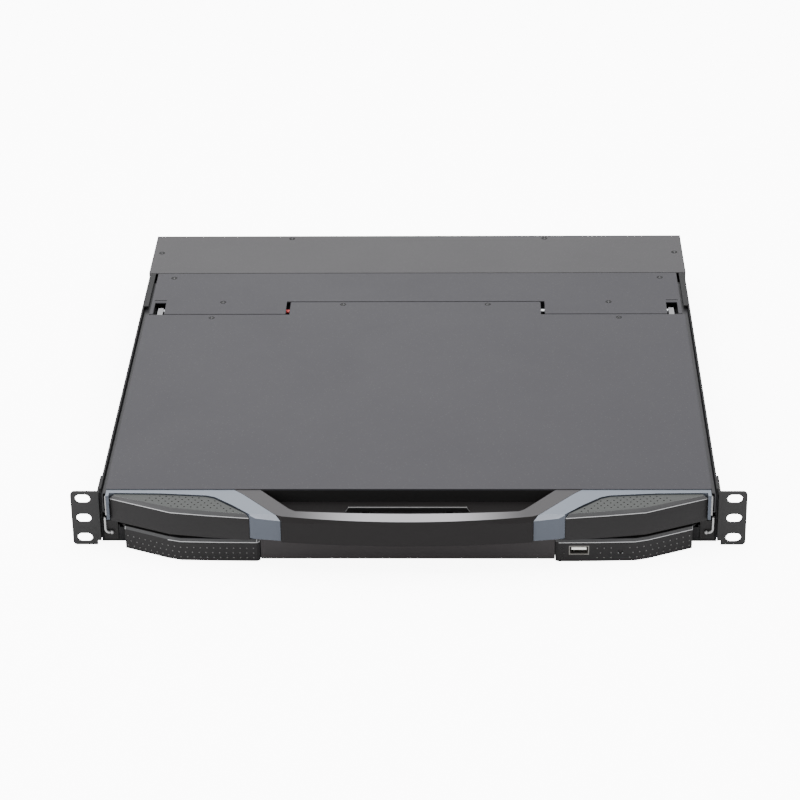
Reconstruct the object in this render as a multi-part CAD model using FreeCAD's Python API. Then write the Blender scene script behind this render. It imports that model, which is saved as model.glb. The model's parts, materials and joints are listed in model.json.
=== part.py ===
import FreeCAD, Part

import math
import os

# Rack console drawer, one rack unit high: a display lid and a keyboard drawer,
# each on its own pair of ball-bearing slides in one open-topped chassis.
# Millimetres.  X runs across the rack, Y into the rack, Z up.  The origin is the
# centre of the rack hole pattern, on the rear (mounting) face of the two ears.
# Shares are fractions of the size that they are multiplied by.

# ---------------------------------------------------------------- rack standard
RACK_HEIGHT = 44.45         # one rack unit
UNIT_GAP = 1.05             # height left free of that unit
RACK_WIDTH = 482.6          # over both ears
HOLE_INSET = 8.75           # hole column, in from the ear's outer edge
SLOT_LENGTH = 10.8          # rack slots, end to end
SLOT_WIDTH = 7.1
EAR_REACH = 20.3            # ear, outside the chassis wall
EAR_THICKNESS = 2.0
EAR_RETURN = 28.0           # depth of the ear's flange along the chassis wall
EAR_CORNER = 3.0            # corner radius of the ear
EAR_RELIEF = 3.4            # height cut from the flange above and below
EAR_NOTCH = 2.6             # width of the lower corner notch

# ---------------------------------------------------------------- sheet and fits
WALL = 1.5                  # chassis side wall
SHEET = 1.2                 # pan, covers, lid plate
FIT = 0.3                   # clearance between pieces that seat
SEAT = 0.1                  # clearance of a sliding seat
RUN = 0.05                  # radial clearance of a shaft in its bore
PANEL_GAP = 1.2             # gap between panels that pass each other
OVERCUT = 1.0               # how far a cutting tool stands out of the sheet
FLAT_COUNT = 8              # flats of small turned pieces: screws, posts, feet, balls
HEX_COUNT = 6               # flats of the threaded posts

# ---------------------------------------------------------------- chassis
CASE_FRONT = 3.0            # front edge of the walls, behind the ear face
FRONT_GAP = 0.8             # between that edge and the drawer's front
REAR_COVER_DEPTH = 74.2
COVER_RETURN = 12.0         # side flange of the rear cover
COVER_SHEET = 1.0           # side flange thickness
TOP_FLANGE = 5.0            # inward flange of the wall, beside the hinge cover
SCREW_TAB = 12.0            # square tabs that take the cover screws
PANEL_FLANGE_INSET = 20.0   # rear panel's flange, short of each side wall

# ---------------------------------------------------------------- slides
SLIDE_THICKNESS = 10.2
SLIDE_SETBACK = 11.4        # slide's rear end, in front of the hinge cover's
SLIDE_ROOM = 5.3            # free height above and below a slide in its level
SLIDE_SHEET = 1.2
SLIDE_BEND = 0.6            # bevel that stands for the bend of a member
OUTER_RACE = 1.9            # ball gap between outer and middle member
INNER_RACE = 1.4            # ball gap between middle and inner member
OUTER_LIP = 2.2             # outer member's flange, short of the slide's inner face
WEB_GAP = 0.6               # between neighbouring webs
LIP_GAP = 0.4               # middle member's flange, short of the inner web
UPPER_DROP = 0.65           # display slides, below the middle of their level
LOWER_DROP = 1.05           # drawer slides, below the middle of theirs
CAGE_WIDTH = 3.0            # ball retainer strip
CAGE_SHARE = 3 / 7          # retainer length, of the slide's length
CAGE_FILL = 0.6             # strip thickness, of the race
CAGE_BALLS = 2              # balls in each retainer strip

# ---------------------------------------------------------------- display lid
LID_SIDE_GAP = 5.0          # lid's side edge, inside the chassis width
LID_INSET = 0.5             # lid's front edge, in front of the walls
LID_HEM = 1.6               # folded edge of the lid plate
LID_HEM_SETBACK = 2.0
LID_CORNER = 1.5
LID_UNDERSIDE = 1.3         # height of the screen bezel's face
HOUSING_WALL = 2.0
HOUSING_CORNER = 2.5
SCREEN_SETBACK = 13.8       # display module, behind the lid's front edge
SCREEN_SIDE = 6.8           # module, inside the housing's wall
SCREEN_BORDER = 8.05        # module's frame beside the picture
SCREEN_BAND = 9.0           # module's frame before and behind the picture
SCREEN_ASPECT = 9 / 16
SCREEN_THICKNESS = 6.0
BUTTON_BAND = 37.4          # lid's depth behind the display module
TAB_SHARE = 0.4676          # centre tab that carries the hinge shafts, of the lid's width
TAB_REACH = 23.0            # tab length behind the lid's rear edge
TAB_HEIGHT = 8.0
TAB_INSET = 0.4             # moulded tab, inside the plate's edge
BOSS_RADIUS = 3.4           # screw bosses and posts
DRIVER_SHARE = 0.402        # driver board, of the display module's width
DRIVER_BAND = 0.3           # its depth and its setback, of the module's depth
DRIVER_LIFT = 2.0           # spacer feet under it
BOARD_SHEET = 1.6
BUTTON_COUNT = 4
BUTTON_PITCH = 15.0
BUTTON_WIDTH = 8.0
BUTTON_DEPTH = 5.0
BUTTON_COLLAR = 0.9         # collar, outside the button's sides
BUTTON_PROUD = 0.6          # button, out of the bezel
BUTTON_SETBACK = 13.0       # buttons, in front of the housing's rear wall
BUTTON_BOARD = 10.0         # depth of the board that carries their switches
BUTTON_LIFT = 1.4           # that board, above the bezel's inner face

# ---------------------------------------------------------------- hinge carriage
STRIP_SIDE_GAP = 7.0        # hinge cover, inside the chassis width
STRIP_DEPTH = 76.7
STRIP_GAP = 0.8             # seam between hinge cover and rear cover
SLOT_GAP = 3.2              # gap at each side of the tab
NOTCH_WIDTH = 8.8           # corner notch round the lid arm
NOTCH_EDGE = 3.0            # bridge outside the notch
NOTCH_REACH = 6.3           # notch behind the hinge axis
SLIT_WIDTH = 1.0            # relief slit behind the notch
SLIT_BRIDGE = 3.6           # between notch and slit
FOLD_SETBACK = 2.0          # cover's middle fold, behind the edge that faces the tab
FOLD_REACH = 4.0            # folds, below the hinge barrels
HINGE_DROP = 5.2            # hinge axis below the top face
HINGE_SETBACK = 16.0        # hinge axis behind the lid's rear edge
SHAFT_RADIUS = 2.0
SHAFT_GRIP = 4.0            # shaft length inside the tab's wall
BARREL_RADIUS = 3.6
BARREL_INSET = 8.0          # barrel start, outside the lobe's inner wall
BARREL_GAP = 7.6            # bare shaft between barrel and arm
BARREL_END = 6.0            # barrel past its web
BARREL_WEB = 3.0
BARREL_FOOT = 8.0           # foot, in front of the axis
BARREL_HEEL = 2.5           # foot, behind the axis, and its thickness
ARM_THICKNESS = 2.0
ARM_KNUCKLE = 4.2
ARM_HALF = 3.0              # knuckle radius
ARM_REACH = 42.0            # arm length inside the housing
ARM_RISE = 9.0              # arm's lower edge, above the bezel
RAIL_FOOT = 9.0             # width of the ledge the lid lies on
RAIL_SETBACK = 2.0
BEAM_SETBACK = 4.0
CABLE_RADIUS = 1.6
CABLE_BEND = 3.4

# ---------------------------------------------------------------- upper front
FRONT_DROP = 0.6            # top of the handle and trim, below the lid's
FRONT_FOOT = 0.2            # their underside, above the bezel
FRONT_SEAM = 0.2            # between them and the lid plate
SEAM = 0.3                  # between neighbouring front pieces
HANDLE_SHARE = 0.40833      # half width of the handle's front, of half the lid
HANDLE_REACH = 46.3         # handle nose, in front of the lid plate
HANDLE_SAG = 8.1            # how far the arc falls back at its ends
HANDLE_BEVEL = 3.4          # height of the bevel over the front face
BEVEL_RUN = 2.3             # depth of that bevel at the ends
BEVEL_NOSE = 0.3            # and at the middle
HANDLE_RIM = 13.0           # handle's top, from the nose to the pocket
POCKET_DEPTH = 9.8
POCKET_SHARES = (0.3602, 0.3819, 0.4861)    # pocket's front, corner and rear, of half the lid
POCKET_SAG = 3.7
POCKET_CORNER = 3.6
POCKET_LIP = 1.2
FLOOR_THICKNESS = 2.5
HANDLE_COVER = 2.0          # thickness of the handle's bottom cover
GRIP_DROP = 0.8             # top of the side grips, below the trim's
GRIP_BEVEL = 2.6
TRIM_FACET = 3.6

# Plan outlines of the left-hand front pieces, in shares of half the lid's width
# and of the handle's reach.
TRIM_INNER = [(-0.5741, 0.0), (-0.5431, -0.1425), (-0.4296, -0.7667)]
TRIM_FOOT = [(-0.4116, -0.8272), (-0.4931, -0.7732)]
TRIM_OUTER = [(-0.5130, -0.7473), (-0.5713, -0.4752), (-0.6343, -0.2225), (-0.6648, -0.1706),
              (-0.8176, -0.1080), (-0.9870, -0.0929)]
TRIM_END = [(-0.9870, -0.1857), (-0.9972, -0.1922)]
TRIM_START = [(-0.9972, 0.0)]
FACET_TOP = [(-0.3977, -0.7862), (-0.5116, -0.7408), (-0.5347, -0.8596), (-0.3977, -0.9136)]
FACET_FOOT = [(-0.3977, -0.8359), (-0.5116, -0.7689), (-0.5347, -0.8596), (-0.3977, -0.9136)]
GRIP_FRONT = [(-0.9856, -0.1469), (-0.8819, -0.3629), (-0.7792, -0.5767), (-0.6565, -0.6695),
              (-0.5148, -0.7538)]
GRIP_REAR = [(-0.6347, -0.2354), (-0.6657, -0.1793), (-0.8181, -0.1166), (-0.9856, -0.1015)]
CREST_FRONT = [(-0.9704, -0.1577), (-0.8824, -0.3110), (-0.7750, -0.5184), (-0.6667, -0.6134),
               (-0.5264, -0.7041)]
CREST_REAR = [(-0.6361, -0.2441), (-0.6667, -0.1857), (-0.8185, -0.1210), (-0.9704, -0.1080)]

# ---------------------------------------------------------------- release catch
CATCH_SHARE = 0.54          # catch width, of the pocket's
CATCH_HEIGHT = 4.0          # above the pocket floor
CATCH_THICKNESS = 1.6
CATCH_SLANT = 2.4           # how far its ends widen downwards
CATCH_PLACE = 0.4114        # plate's rear face, of the pocket's reach
CATCH_TRAVEL = 4.0
CATCH_STEM = 6.0
STEM_SHARE = 0.357          # stems, from the middle, of the catch width
SLIDER_DEPTH = 9.0
SLIDER_SHORT = 8.0          # slider narrower than the plate
SLIDER_THICKNESS = 2.5
CAVITY_MARGIN = 4.0         # cavity round the slider
GUIDE_WIDTH = 4.0

# ---------------------------------------------------------------- keyboard drawer
TRAY_LINK = 0.7             # spacer between tray wall and inner slide member
LINK_SETBACK = 4.0
TRAY_SHEET = 1.0
DECK_DROP = 7.6             # top of the deck, below the level's top
DECK_THICKNESS = 2.0
DECK_SIDE_GAP = 0.6
DECK_CORNER = 4.0
DECK_MARGIN = 24.0          # deck beside the keys
DECK_FRONT_BAND = 84.0      # deck in front of the keys
DECK_REAR_BAND = 80.0       # deck behind the keys
KEY_GAP = 0.8               # between the feet of neighbouring keycaps
KEY_RISE = 3.2              # keycap top, above the deck
KEY_SKIRT = 2.8             # keycap foot, below the deck's top
KEY_TAPER = 2.2
KEY_CLEAR = 0.3             # round each block of keys in its window
KEY_TRAVEL = 2.0
PAD_GAP = 5.0               # between the letter block and the number pad
PLATE_SHEET = 1.0           # switch plate
PLATE_MARGIN = 3.0          # switch plate, outside the keys
POST_RADIUS = 3.5
POST_INSET = 9.0            # deck's posts, from its side
POST_SETBACK = 12.0
TOUCHPAD_WIDTH = 76.0
TOUCHPAD_DEPTH = 46.0
TOUCHPAD_FRONT = 26.0
TOUCHPAD_RECESS = 0.9
TOUCHPAD_SHEET = 0.7
TOUCHPAD_CORNER = 2.0
BUTTON_BAR_DEPTH = 11.0
BUTTON_BAR_GAP = 4.0        # between the touchpad and its buttons
BUTTON_BAR_SPLIT = 1.2      # between the two buttons
BUTTON_BAR_RISE = 0.5
BUTTON_BAR_EDGE = 0.4

# Keyboard rows from the rear, in key pitches: the letter block, then the number pad.
LETTER_ROWS = [
    [1.0] * 15,
    [1.0] * 13 + [2.0],
    [1.5] + [1.0] * 12 + [1.5],
    [1.75] + [1.0] * 11 + [2.25],
    [2.25] + [1.0] * 10 + [1.75, 1.0],
    [1.25, 1.25, 1.25, 5.75, 1.25, 1.25, 1.0, 1.0, 1.0],
]
NUMBER_ROWS = [[1.0] * 4, [1.0] * 4, [1.0] * 4, [1.0] * 4, [1.0] * 4, [2.0, 1.0, 1.0]]
ENTER_INDEX = (3, 12)       # row and column of the enter key
SPACE_INDEX = (5, 3)        # and of the space bar

# ---------------------------------------------------------------- lower front
LOWER_RISE = 0.5            # underside, above the chassis floor's
LOWER_GRIP_DROP = 4.7       # top of the grips, below the level's top
LOWER_STRIP_DROP = 1.6      # top of the centre strip, below the level's top
LOWER_REACH = 28.6          # grips' nose, in front of the lid plate's edge
STRIP_BACK = 1.4            # centre strip, behind that nose
CREST_HEIGHT = 1.2          # bevel at the crest of grips and strip
CREST_RUN = 1.0
STRIP_TOE = 2.0             # bevel along the strip's lower edge
STRIP_SHELF = 9.0           # strip's level top, front to back
LOWER_SHARE = 0.4838        # half width of the centre strip, of half the lid
# Plan outline of the left grip, in shares of half the lid's width and of the lower reach.
LOWER_GRIP = [(-0.9389, -0.3427), (-0.7898, -0.8531), (-0.7463, -0.9510), (-0.6190, -0.9860),
              (-0.4954, -1.0), (-0.4852, -0.9476)]
USB_SHARE = 0.5620          # socket, from the middle, of half the lid
USB_RISE = 9.2              # socket, above the front's underside
USB_WIDTH = 14.4
USB_HEIGHT = 7.4
USB_DEPTH = 18.0
USB_SHELL = 0.9
USB_BASE = 3.0              # closed rear of the socket
USB_TONGUE = 1.8
RESET_SHARE = 0.6981        # pin hole, from the middle, of half the lid
RESET_RISE = 7.4
RESET_RADIUS = 1.4
RESET_SETBACK = 1.9         # plunger, behind the grips' nose
RESET_TAIL = 4.0            # plunger, behind the tray's front wall

# ---------------------------------------------------------------- rear connectors
PORT_RISE = 12.7            # connectors, above the chassis floor's underside
INLET_MARGIN = 43.5         # inlet, from the left wall
INLET_WIDTH = 27.0
INLET_HEIGHT = 19.8
INLET_DEPTH = 18.0
INLET_SOCKET = 15.0
INLET_FLANGE = 2.2
INLET_RIM = 1.6             # wall of the socket, and the flange beyond the body
INLET_CORNER = 4.6          # chamfered upper corners of the socket
PIN_PITCH = 7.0
PIN_WIDTH = 2.0
PIN_HEIGHT = 4.0
PIN_SHORT = 1.0             # pins, short of the socket's mouth
ROCKER_GAP = 10.0           # between the inlet's flange and the switch's
ROCKER_WIDTH = 13.0
ROCKER_HEIGHT = 19.0
ROCKER_DEPTH = 12.0
ROCKER_RIM = 1.0            # wall of the switch, and the rim beyond it
ROCKER_WELL = 7.5
ROCKER_PIN = 0.9
ROCKER_PIVOT = 2.0          # pivot, in front of the rear panel's face
ROCKER_PROUD = 3.4          # rocker's ends, behind the pivot
ROCKER_ANGLE = 9.0          # degrees
VIDEO_SHARE = 0.1367        # video connector, from the middle, of the inner half width
VIDEO_WIDTH = 16.4
VIDEO_HEIGHT = 8.4
VIDEO_TAPER = 1.2
VIDEO_REACH = 5.6
VIDEO_WALL = 0.7
VIDEO_RECESS = 1.0          # insert, below the shell's rim
DEVICE_GAP = 23.9           # between the video and device connectors
DEVICE_WIDTH = 11.8
DEVICE_WALL = 1.6
DEVICE_HEIGHT = 10.6
PORT_DEPTH = 14.0
PORT_WELL = 8.0
BOARD_RISE = 4.5            # boards, above the pan
BOARD_DEPTH = 58.8
BOARD_SHARES = (-0.2734, 0.8929)            # main board's ends, of the inner half width
SUPPLY_SHARES = (-0.9294, -0.4374)          # power supply's ends
SUPPLY_DEPTH = 110.0
SUPPLY_SETBACK = 24.0       # supply, in front of the case's rear
STANDOFF_RADIUS = 2.6
STANDOFF_INSET = 6.0
HEADROOM = 2.0              # between the supply's parts and the carriage
# Parts on the main board: centre, width, depth and height, in shares of the
# board's width and depth and of the height to the carriage.
BOARD_PARTS = [(0.234, 0.306, 0.094, 0.408, 0.18), (0.094, 0.340, 0.055, 0.170, 0.11),
               (0.391, 0.272, 0.063, 0.204, 0.13), (0.625, 0.340, 0.078, 0.340, 0.16),
               (0.766, 0.476, 0.047, 0.374, 0.65), (0.891, 0.408, 0.102, 0.272, 0.81)]
# Parts on the supply's board: centre and size, in the same shares.
SUPPLY_PARTS = [(0.50, 0.264, 0.26, 0.273, 1.0), (0.398, 0.773, 0.167, 0.164, 0.73)]
SUPPLY_CANS = [(0.778, 0.182), (0.778, 0.309), (0.889, 0.245), (0.481, 0.564)]
CAN_RADIUS = 5.0
DRIVER_PARTS = [(0.25, 0.43, 0.10, 0.23, 0.20), (0.5625, 0.51, 0.10, 0.23, 0.24),
                (0.825, 0.34, 0.10, 0.23, 0.38)]
FIN_COUNT = 6
FIN_SHEET = 1.6
FIN_REACH = 8.0

# ---------------------------------------------------------------- screws
SCREW_HEAD = 5.2            # countersunk head diameter
SCREW_SHANK = 2.6
SCREW_CONE = 1.2
SCREW_LENGTH = 4.0
EAR_SCREW_HEAD = 6.8
EAR_SCREW_SHANK = 3.2
EAR_SCREW_CONE = 1.8
LID_SCREW_SHARE = 0.7546    # lid's screws, from the middle, of half its width
LID_SCREW_INSET = 5.7       # and in front of its rear edge
TAB_SCREW_SHARE = 0.578     # tab's screws, of half the tab's width
TAB_SCREW_INSET = 4.5
STRIP_SCREW_SHARES = (0.9259, 0.7222)       # hinge cover's screws, of half the lid
STRIP_SCREW_INSET = 8.9     # outer ones, in front of its rear edge
LOBE_SCREW_INSET = 21.8     # inner ones, behind its front edge
SIDE_SCREW_INSET = 39.8     # behind the rear cover's front edge
REAR_SCREW_SHARE = 0.4842   # of half the chassis
REAR_SCREW_INSET = 5.9
EAR_SCREW_SHARES = (0.45, 0.75)             # outer and middle ones, of the ear's return
EAR_SCREW_SPREAD = 0.6      # outer ones, of half the height

# ---------------------------------------------------------------- derived places
HEIGHT = RACK_HEIGHT - UNIT_GAP
LEVEL = HEIGHT / 2
TOP = LEVEL
BOTTOM = -LEVEL
HOLE_PITCH = RACK_HEIGHT * 5 / 14
HOLE_SPAN = RACK_WIDTH - 2 * HOLE_INSET
CHASSIS_WIDTH = RACK_WIDTH - 2 * EAR_REACH
CASE_HALF = CHASSIS_WIDTH / 2
WALL_IN = CASE_HALF - WALL
PAN_TOP = BOTTOM + SHEET
SLIDE_IN = WALL_IN - SLIDE_THICKNESS
SLIDE_HEIGHT = LEVEL - SLIDE_ROOM
UPPER_SLIDE_Z = LEVEL / 2 - UPPER_DROP
LOWER_SLIDE_Z = -LEVEL / 2 - LOWER_DROP

LID_HALF = CASE_HALF - LID_SIDE_GAP
LID_TOP = TOP - SHEET
HOUSING_HALF = SLIDE_IN - SHEET - FIT
SCREEN_HALF = HOUSING_HALF - HOUSING_WALL - SCREEN_SIDE
PICTURE_HALF = SCREEN_HALF - SCREEN_BORDER
PICTURE_DEPTH = 2 * PICTURE_HALF * SCREEN_ASPECT
SCREEN_DEPTH = PICTURE_DEPTH + 2 * SCREEN_BAND
LID_FRONT = CASE_FRONT - LID_INSET
SCREEN_FRONT = LID_FRONT + SCREEN_SETBACK
LID_REAR = SCREEN_FRONT + SCREEN_DEPTH + BUTTON_BAND
HOUSING_FRONT = LID_FRONT - FRONT_SEAM
HOUSING_REAR = LID_REAR - LID_INSET
SCREEN_Z = LID_UNDERSIDE + HOUSING_WALL
BUTTON_Y = HOUSING_REAR - BUTTON_SETBACK
TAB_HALF = TAB_SHARE * LID_HALF
TAB_REAR = LID_REAR + TAB_REACH

LOBE_FRONT = LID_REAR + PANEL_GAP
STRIP_REAR = LOBE_FRONT + STRIP_DEPTH
STRIP_HALF = CASE_HALF - STRIP_SIDE_GAP
COVER_FRONT = STRIP_REAR + STRIP_GAP
CASE_REAR = COVER_FRONT + REAR_COVER_DEPTH
SLIDE_LENGTH = STRIP_REAR - SLIDE_SETBACK - CASE_FRONT
HINGE_Y = LID_REAR + HINGE_SETBACK
HINGE_Z = TOP - HINGE_DROP
SLOT_EDGE = TAB_HALF + SLOT_GAP
RAIL_TOP = LID_UNDERSIDE - FIT
BEAM_FLOOR = RAIL_TOP - SHEET
ARM_OUT = HOUSING_HALF - HOUSING_WALL
ARM_IN = ARM_OUT - ARM_THICKNESS
ARM_END = ARM_IN + ARM_KNUCKLE
ARM_LOW = LID_UNDERSIDE + ARM_RISE
ARM_HIGH = HINGE_Z + ARM_HALF
BARREL_START = SLOT_EDGE + BARREL_INSET
BARREL_LENGTH = ARM_IN - BARREL_GAP - BARREL_START

FRONT_TOP = TOP - FRONT_DROP
FRONT_BOTTOM = LID_UNDERSIDE + FRONT_FOOT
GRIP_TOP = FRONT_TOP - GRIP_DROP
HANDLE_HALF = HANDLE_SHARE * LID_HALF
HANDLE_NOSE = LID_FRONT - HANDLE_REACH
POCKET_FLOOR = FRONT_TOP - POCKET_DEPTH
POCKET_REACH = HANDLE_REACH - HANDLE_RIM
POCKET_HALF = POCKET_SHARES[0] * LID_HALF
CATCH_HALF = CATCH_SHARE * POCKET_HALF
CATCH_Y = LID_FRONT - CATCH_PLACE * POCKET_REACH
CATCH_SPREAD = 2 * STEM_SHARE * CATCH_HALF
CAVITY_TOP = POCKET_FLOOR - FLOOR_THICKNESS
SLIDER_HIGH = CAVITY_TOP - SEAT
SLIDER_LOW = CAVITY_TOP - SLIDER_THICKNESS

TRAY_FLOOR = PAN_TOP + FIT
TRAY_HALF = SLIDE_IN - TRAY_LINK
TRAY_FRONT = CASE_FRONT - FRONT_GAP
DECK_HALF = TRAY_HALF - TRAY_SHEET - DECK_SIDE_GAP
DECK_TOP = -DECK_DROP
DECK_LOW = DECK_TOP - DECK_THICKNESS
DECK_FRONT = TRAY_FRONT + FIT
LETTER_PITCHES = sum(LETTER_ROWS[0])
NUMBER_PITCHES = sum(NUMBER_ROWS[0])
KEY_PITCH = (2 * DECK_HALF - 2 * DECK_MARGIN - PAD_GAP) / (LETTER_PITCHES + NUMBER_PITCHES)
KEYS_LEFT = -DECK_HALF + DECK_MARGIN
KEYS_FRONT = DECK_FRONT + DECK_FRONT_BAND
KEYS_REAR = KEYS_FRONT + len(LETTER_ROWS) * KEY_PITCH
TRAY_REAR = KEYS_REAR + DECK_REAR_BAND
KEY_TOP = DECK_TOP + KEY_RISE
KEY_BASE = DECK_TOP - KEY_SKIRT
PLATE_TOP = KEY_BASE - KEY_TRAVEL - FIT
TRAY_TOP = TRAY_FLOOR + TRAY_SHEET
PAD_Y = DECK_FRONT + TOUCHPAD_FRONT

LOWER_BOTTOM = BOTTOM + LOWER_RISE
LOWER_GRIP_TOP = -LOWER_GRIP_DROP
LOWER_STRIP_TOP = -LOWER_STRIP_DROP
LOWER_NOSE = LID_FRONT - LOWER_REACH
LOWER_HALF = LOWER_SHARE * LID_HALF
USB_X = USB_SHARE * LID_HALF
USB_Z = LOWER_BOTTOM + USB_RISE
RESET_X = RESET_SHARE * LID_HALF
RESET_Z = LOWER_BOTTOM + RESET_RISE

PORT_Z = BOTTOM + PORT_RISE
INLET_X = -WALL_IN + INLET_MARGIN
ROCKER_X = INLET_X + INLET_WIDTH / 2 + INLET_RIM + ROCKER_GAP + 2 * ROCKER_RIM + ROCKER_WIDTH / 2
ROCKER_Y = CASE_REAR - ROCKER_PIVOT
VIDEO_X = VIDEO_SHARE * WALL_IN
DEVICE_X = VIDEO_X + VIDEO_WIDTH / 2 + DEVICE_GAP + DEVICE_WIDTH / 2
BOARD_Z = PAN_TOP + BOARD_RISE
BOARD_TOP = BOARD_Z + BOARD_SHEET
BOARD_REAR = CASE_REAR - SHEET - HEADROOM
BOARD_FRONT = BOARD_REAR - BOARD_DEPTH
SUPPLY_REAR = CASE_REAR - SUPPLY_SETBACK
SUPPLY_FRONT = SUPPLY_REAR - SUPPLY_DEPTH
PARTS_ROOM = BEAM_FLOOR - HEADROOM - BOARD_TOP


# ================================================================ plain helpers
def V(x, y, z):
    return FreeCAD.Vector(x, y, z)


ALONG_X = V(1, 0, 0)
ALONG_Y = V(0, 1, 0)
ALONG_Z = V(0, 0, 1)


def block(x0, x1, y0, y1, z0, z1):
    return Part.makeBox(x1 - x0, y1 - y0, z1 - z0, V(x0, y0, z0))


def mid_block(half, y0, y1, z0, z1):
    """Block centred on X = 0, given by its half width."""
    return block(-half, half, y0, y1, z0, z1)


def around(x, y, z, width, depth, height):
    """Block centred on a point."""
    w, d, h = width / 2, depth / 2, height / 2
    return block(x - w, x + w, y - d, y + d, z - h, z + h)


def rod(radius, start, length, direction):
    return Part.makeCylinder(radius, length, start, direction)


def ring(radius, height, flats):
    """Corners of a regular outline round the Z axis."""
    turns = [2 * math.pi * (i + 0.5) / flats for i in range(flats)]
    return [V(radius * math.cos(turn), radius * math.sin(turn), height) for turn in turns]


def stacked(rings):
    """Flat-faced solid through outlines with parallel edges, from the lowest up."""
    faces = [rings[0][::-1], rings[-1]]
    for low, high in zip(rings, rings[1:]):
        for i in range(len(low)):
            faces.append([low[i - 1], low[i], high[i], high[i - 1]])
    shell = Part.makeShell([Part.Face(Part.makePolygon(corners + corners[:1])) for corners in faces])
    return Part.makeSolid(shell)


def turned(profile, start, direction, flats=FLAT_COUNT):
    """Turned piece drawn with flats: radii at heights along a direction."""
    solid = stacked([ring(radius, height, flats) for radius, height in profile])
    solid.Placement = FreeCAD.Placement(start, FreeCAD.Rotation(ALONG_Z, direction))
    return solid


def post(radius, x, y, low, high, flats=FLAT_COUNT):
    """Upright post between two heights."""
    return turned([(radius, 0), (radius, high - low)], V(x, y, low), ALONG_Z, flats)


def loop(points, z):
    return Part.makePolygon([V(x, y, z) for x, y in points] + [V(*points[0], z)])


def prism(points, z0, z1):
    """Plan outline raised from z0 to z1."""
    return Part.Face(loop(points, z0)).extrude(V(0, 0, z1 - z0))


def section_y(points, y0, y1):
    """X-Z section run along Y."""
    wire = Part.makePolygon([V(x, y0, z) for x, z in points] + [V(points[0][0], y0, points[0][1])])
    return Part.Face(wire).extrude(V(0, y1 - y0, 0))


def section_x(points, x0, x1):
    """Y-Z section run along X."""
    wire = Part.makePolygon([V(x0, y, z) for y, z in points] + [V(x0, *points[0])])
    return Part.Face(wire).extrude(V(x1 - x0, 0, 0))


def loft(lower, z0, upper, z1):
    """Ruled solid between two plan outlines with the same number of points."""
    return Part.makeLoft([loop(lower, z0), loop(upper, z1)], True, True)


def fuse(shapes):
    first, rest = shapes[0], shapes[1:]
    return first.fuse(rest).removeSplitter() if rest else first


def cut(shape, tools):
    return shape.cut(tools).removeSplitter()


def mirrored(shape):
    return shape.mirror(V(0, 0, 0), ALONG_X)


def both(shape):
    """The shape and its mirror image, as two separate solids."""
    return Part.makeCompound([shape, mirrored(shape)])


def group(shapes):
    return Part.makeCompound(shapes)


def upright_edges(shape, chosen):
    """The vertical edges whose place passes the test."""
    found = []
    for edge in shape.Edges:
        a, b = edge.Vertexes[0].Point, edge.Vertexes[-1].Point
        upright = math.hypot(a.x - b.x, a.y - b.y) < RUN and abs(a.z - b.z) > RUN
        if upright and chosen(a):
            found.append(edge)
    return found


def parts_on(board, parts, room):
    """Blocks that stand on a board, placed and sized by shares of it."""
    box = board.BoundBox
    found = []
    for x, y, width, depth, height in parts:
        w, d, h = width * box.XLength, depth * box.YLength, height * room
        place = box.XMin + x * box.XLength, box.YMin + y * box.YLength, box.ZMax + h / 2
        found.append(around(*place, w, d, h))
    return found


# ================================================================ screws
def countersunk(x, y, top):
    """Vertical countersunk screw whose head lies flush with the height top."""
    profile = [(SCREW_SHANK / 2, 0), (SCREW_SHANK / 2, SCREW_LENGTH - SCREW_CONE),
               (SCREW_HEAD / 2, SCREW_LENGTH)]
    return turned(profile, V(x, y, top - SCREW_LENGTH), ALONG_Z)


def screws(places):
    return [countersunk(x, y, TOP) for x, y in places]


def pair(x, y):
    return [(-x, y), (x, y)]


LID_SCREWS = (pair(LID_SCREW_SHARE * LID_HALF, LID_REAR - LID_SCREW_INSET)
              + pair(TAB_SCREW_SHARE * TAB_HALF, TAB_REAR - TAB_SCREW_INSET))
STRIP_SCREWS = (pair(STRIP_SCREW_SHARES[0] * LID_HALF, STRIP_REAR - STRIP_SCREW_INSET)
                + pair(STRIP_SCREW_SHARES[1] * LID_HALF, LOBE_FRONT + LOBE_SCREW_INSET))
SIDE_SCREWS = pair(CASE_HALF - SCREW_TAB / 2, COVER_FRONT + SIDE_SCREW_INSET)
REAR_SCREWS = pair(REAR_SCREW_SHARE * CASE_HALF, CASE_REAR - REAR_SCREW_INSET)
EAR_SCREWS = [(EAR_SCREW_SHARES[0] * EAR_RETURN, EAR_SCREW_SPREAD * TOP),
              (EAR_SCREW_SHARES[1] * EAR_RETURN, 0.0),
              (EAR_SCREW_SHARES[0] * EAR_RETURN, EAR_SCREW_SPREAD * BOTTOM)]


def ear_screws():
    """Countersunk screws from outside each ear flange into the wall."""
    length = EAR_THICKNESS + WALL
    profile = [(EAR_SCREW_SHANK / 2, 0), (EAR_SCREW_SHANK / 2, length - EAR_SCREW_CONE),
               (EAR_SCREW_HEAD / 2, length)]
    shapes = [turned(profile, V(WALL_IN, y, z), ALONG_X) for y, z in EAR_SCREWS]
    return shapes + [mirrored(shape) for shape in shapes]


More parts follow.
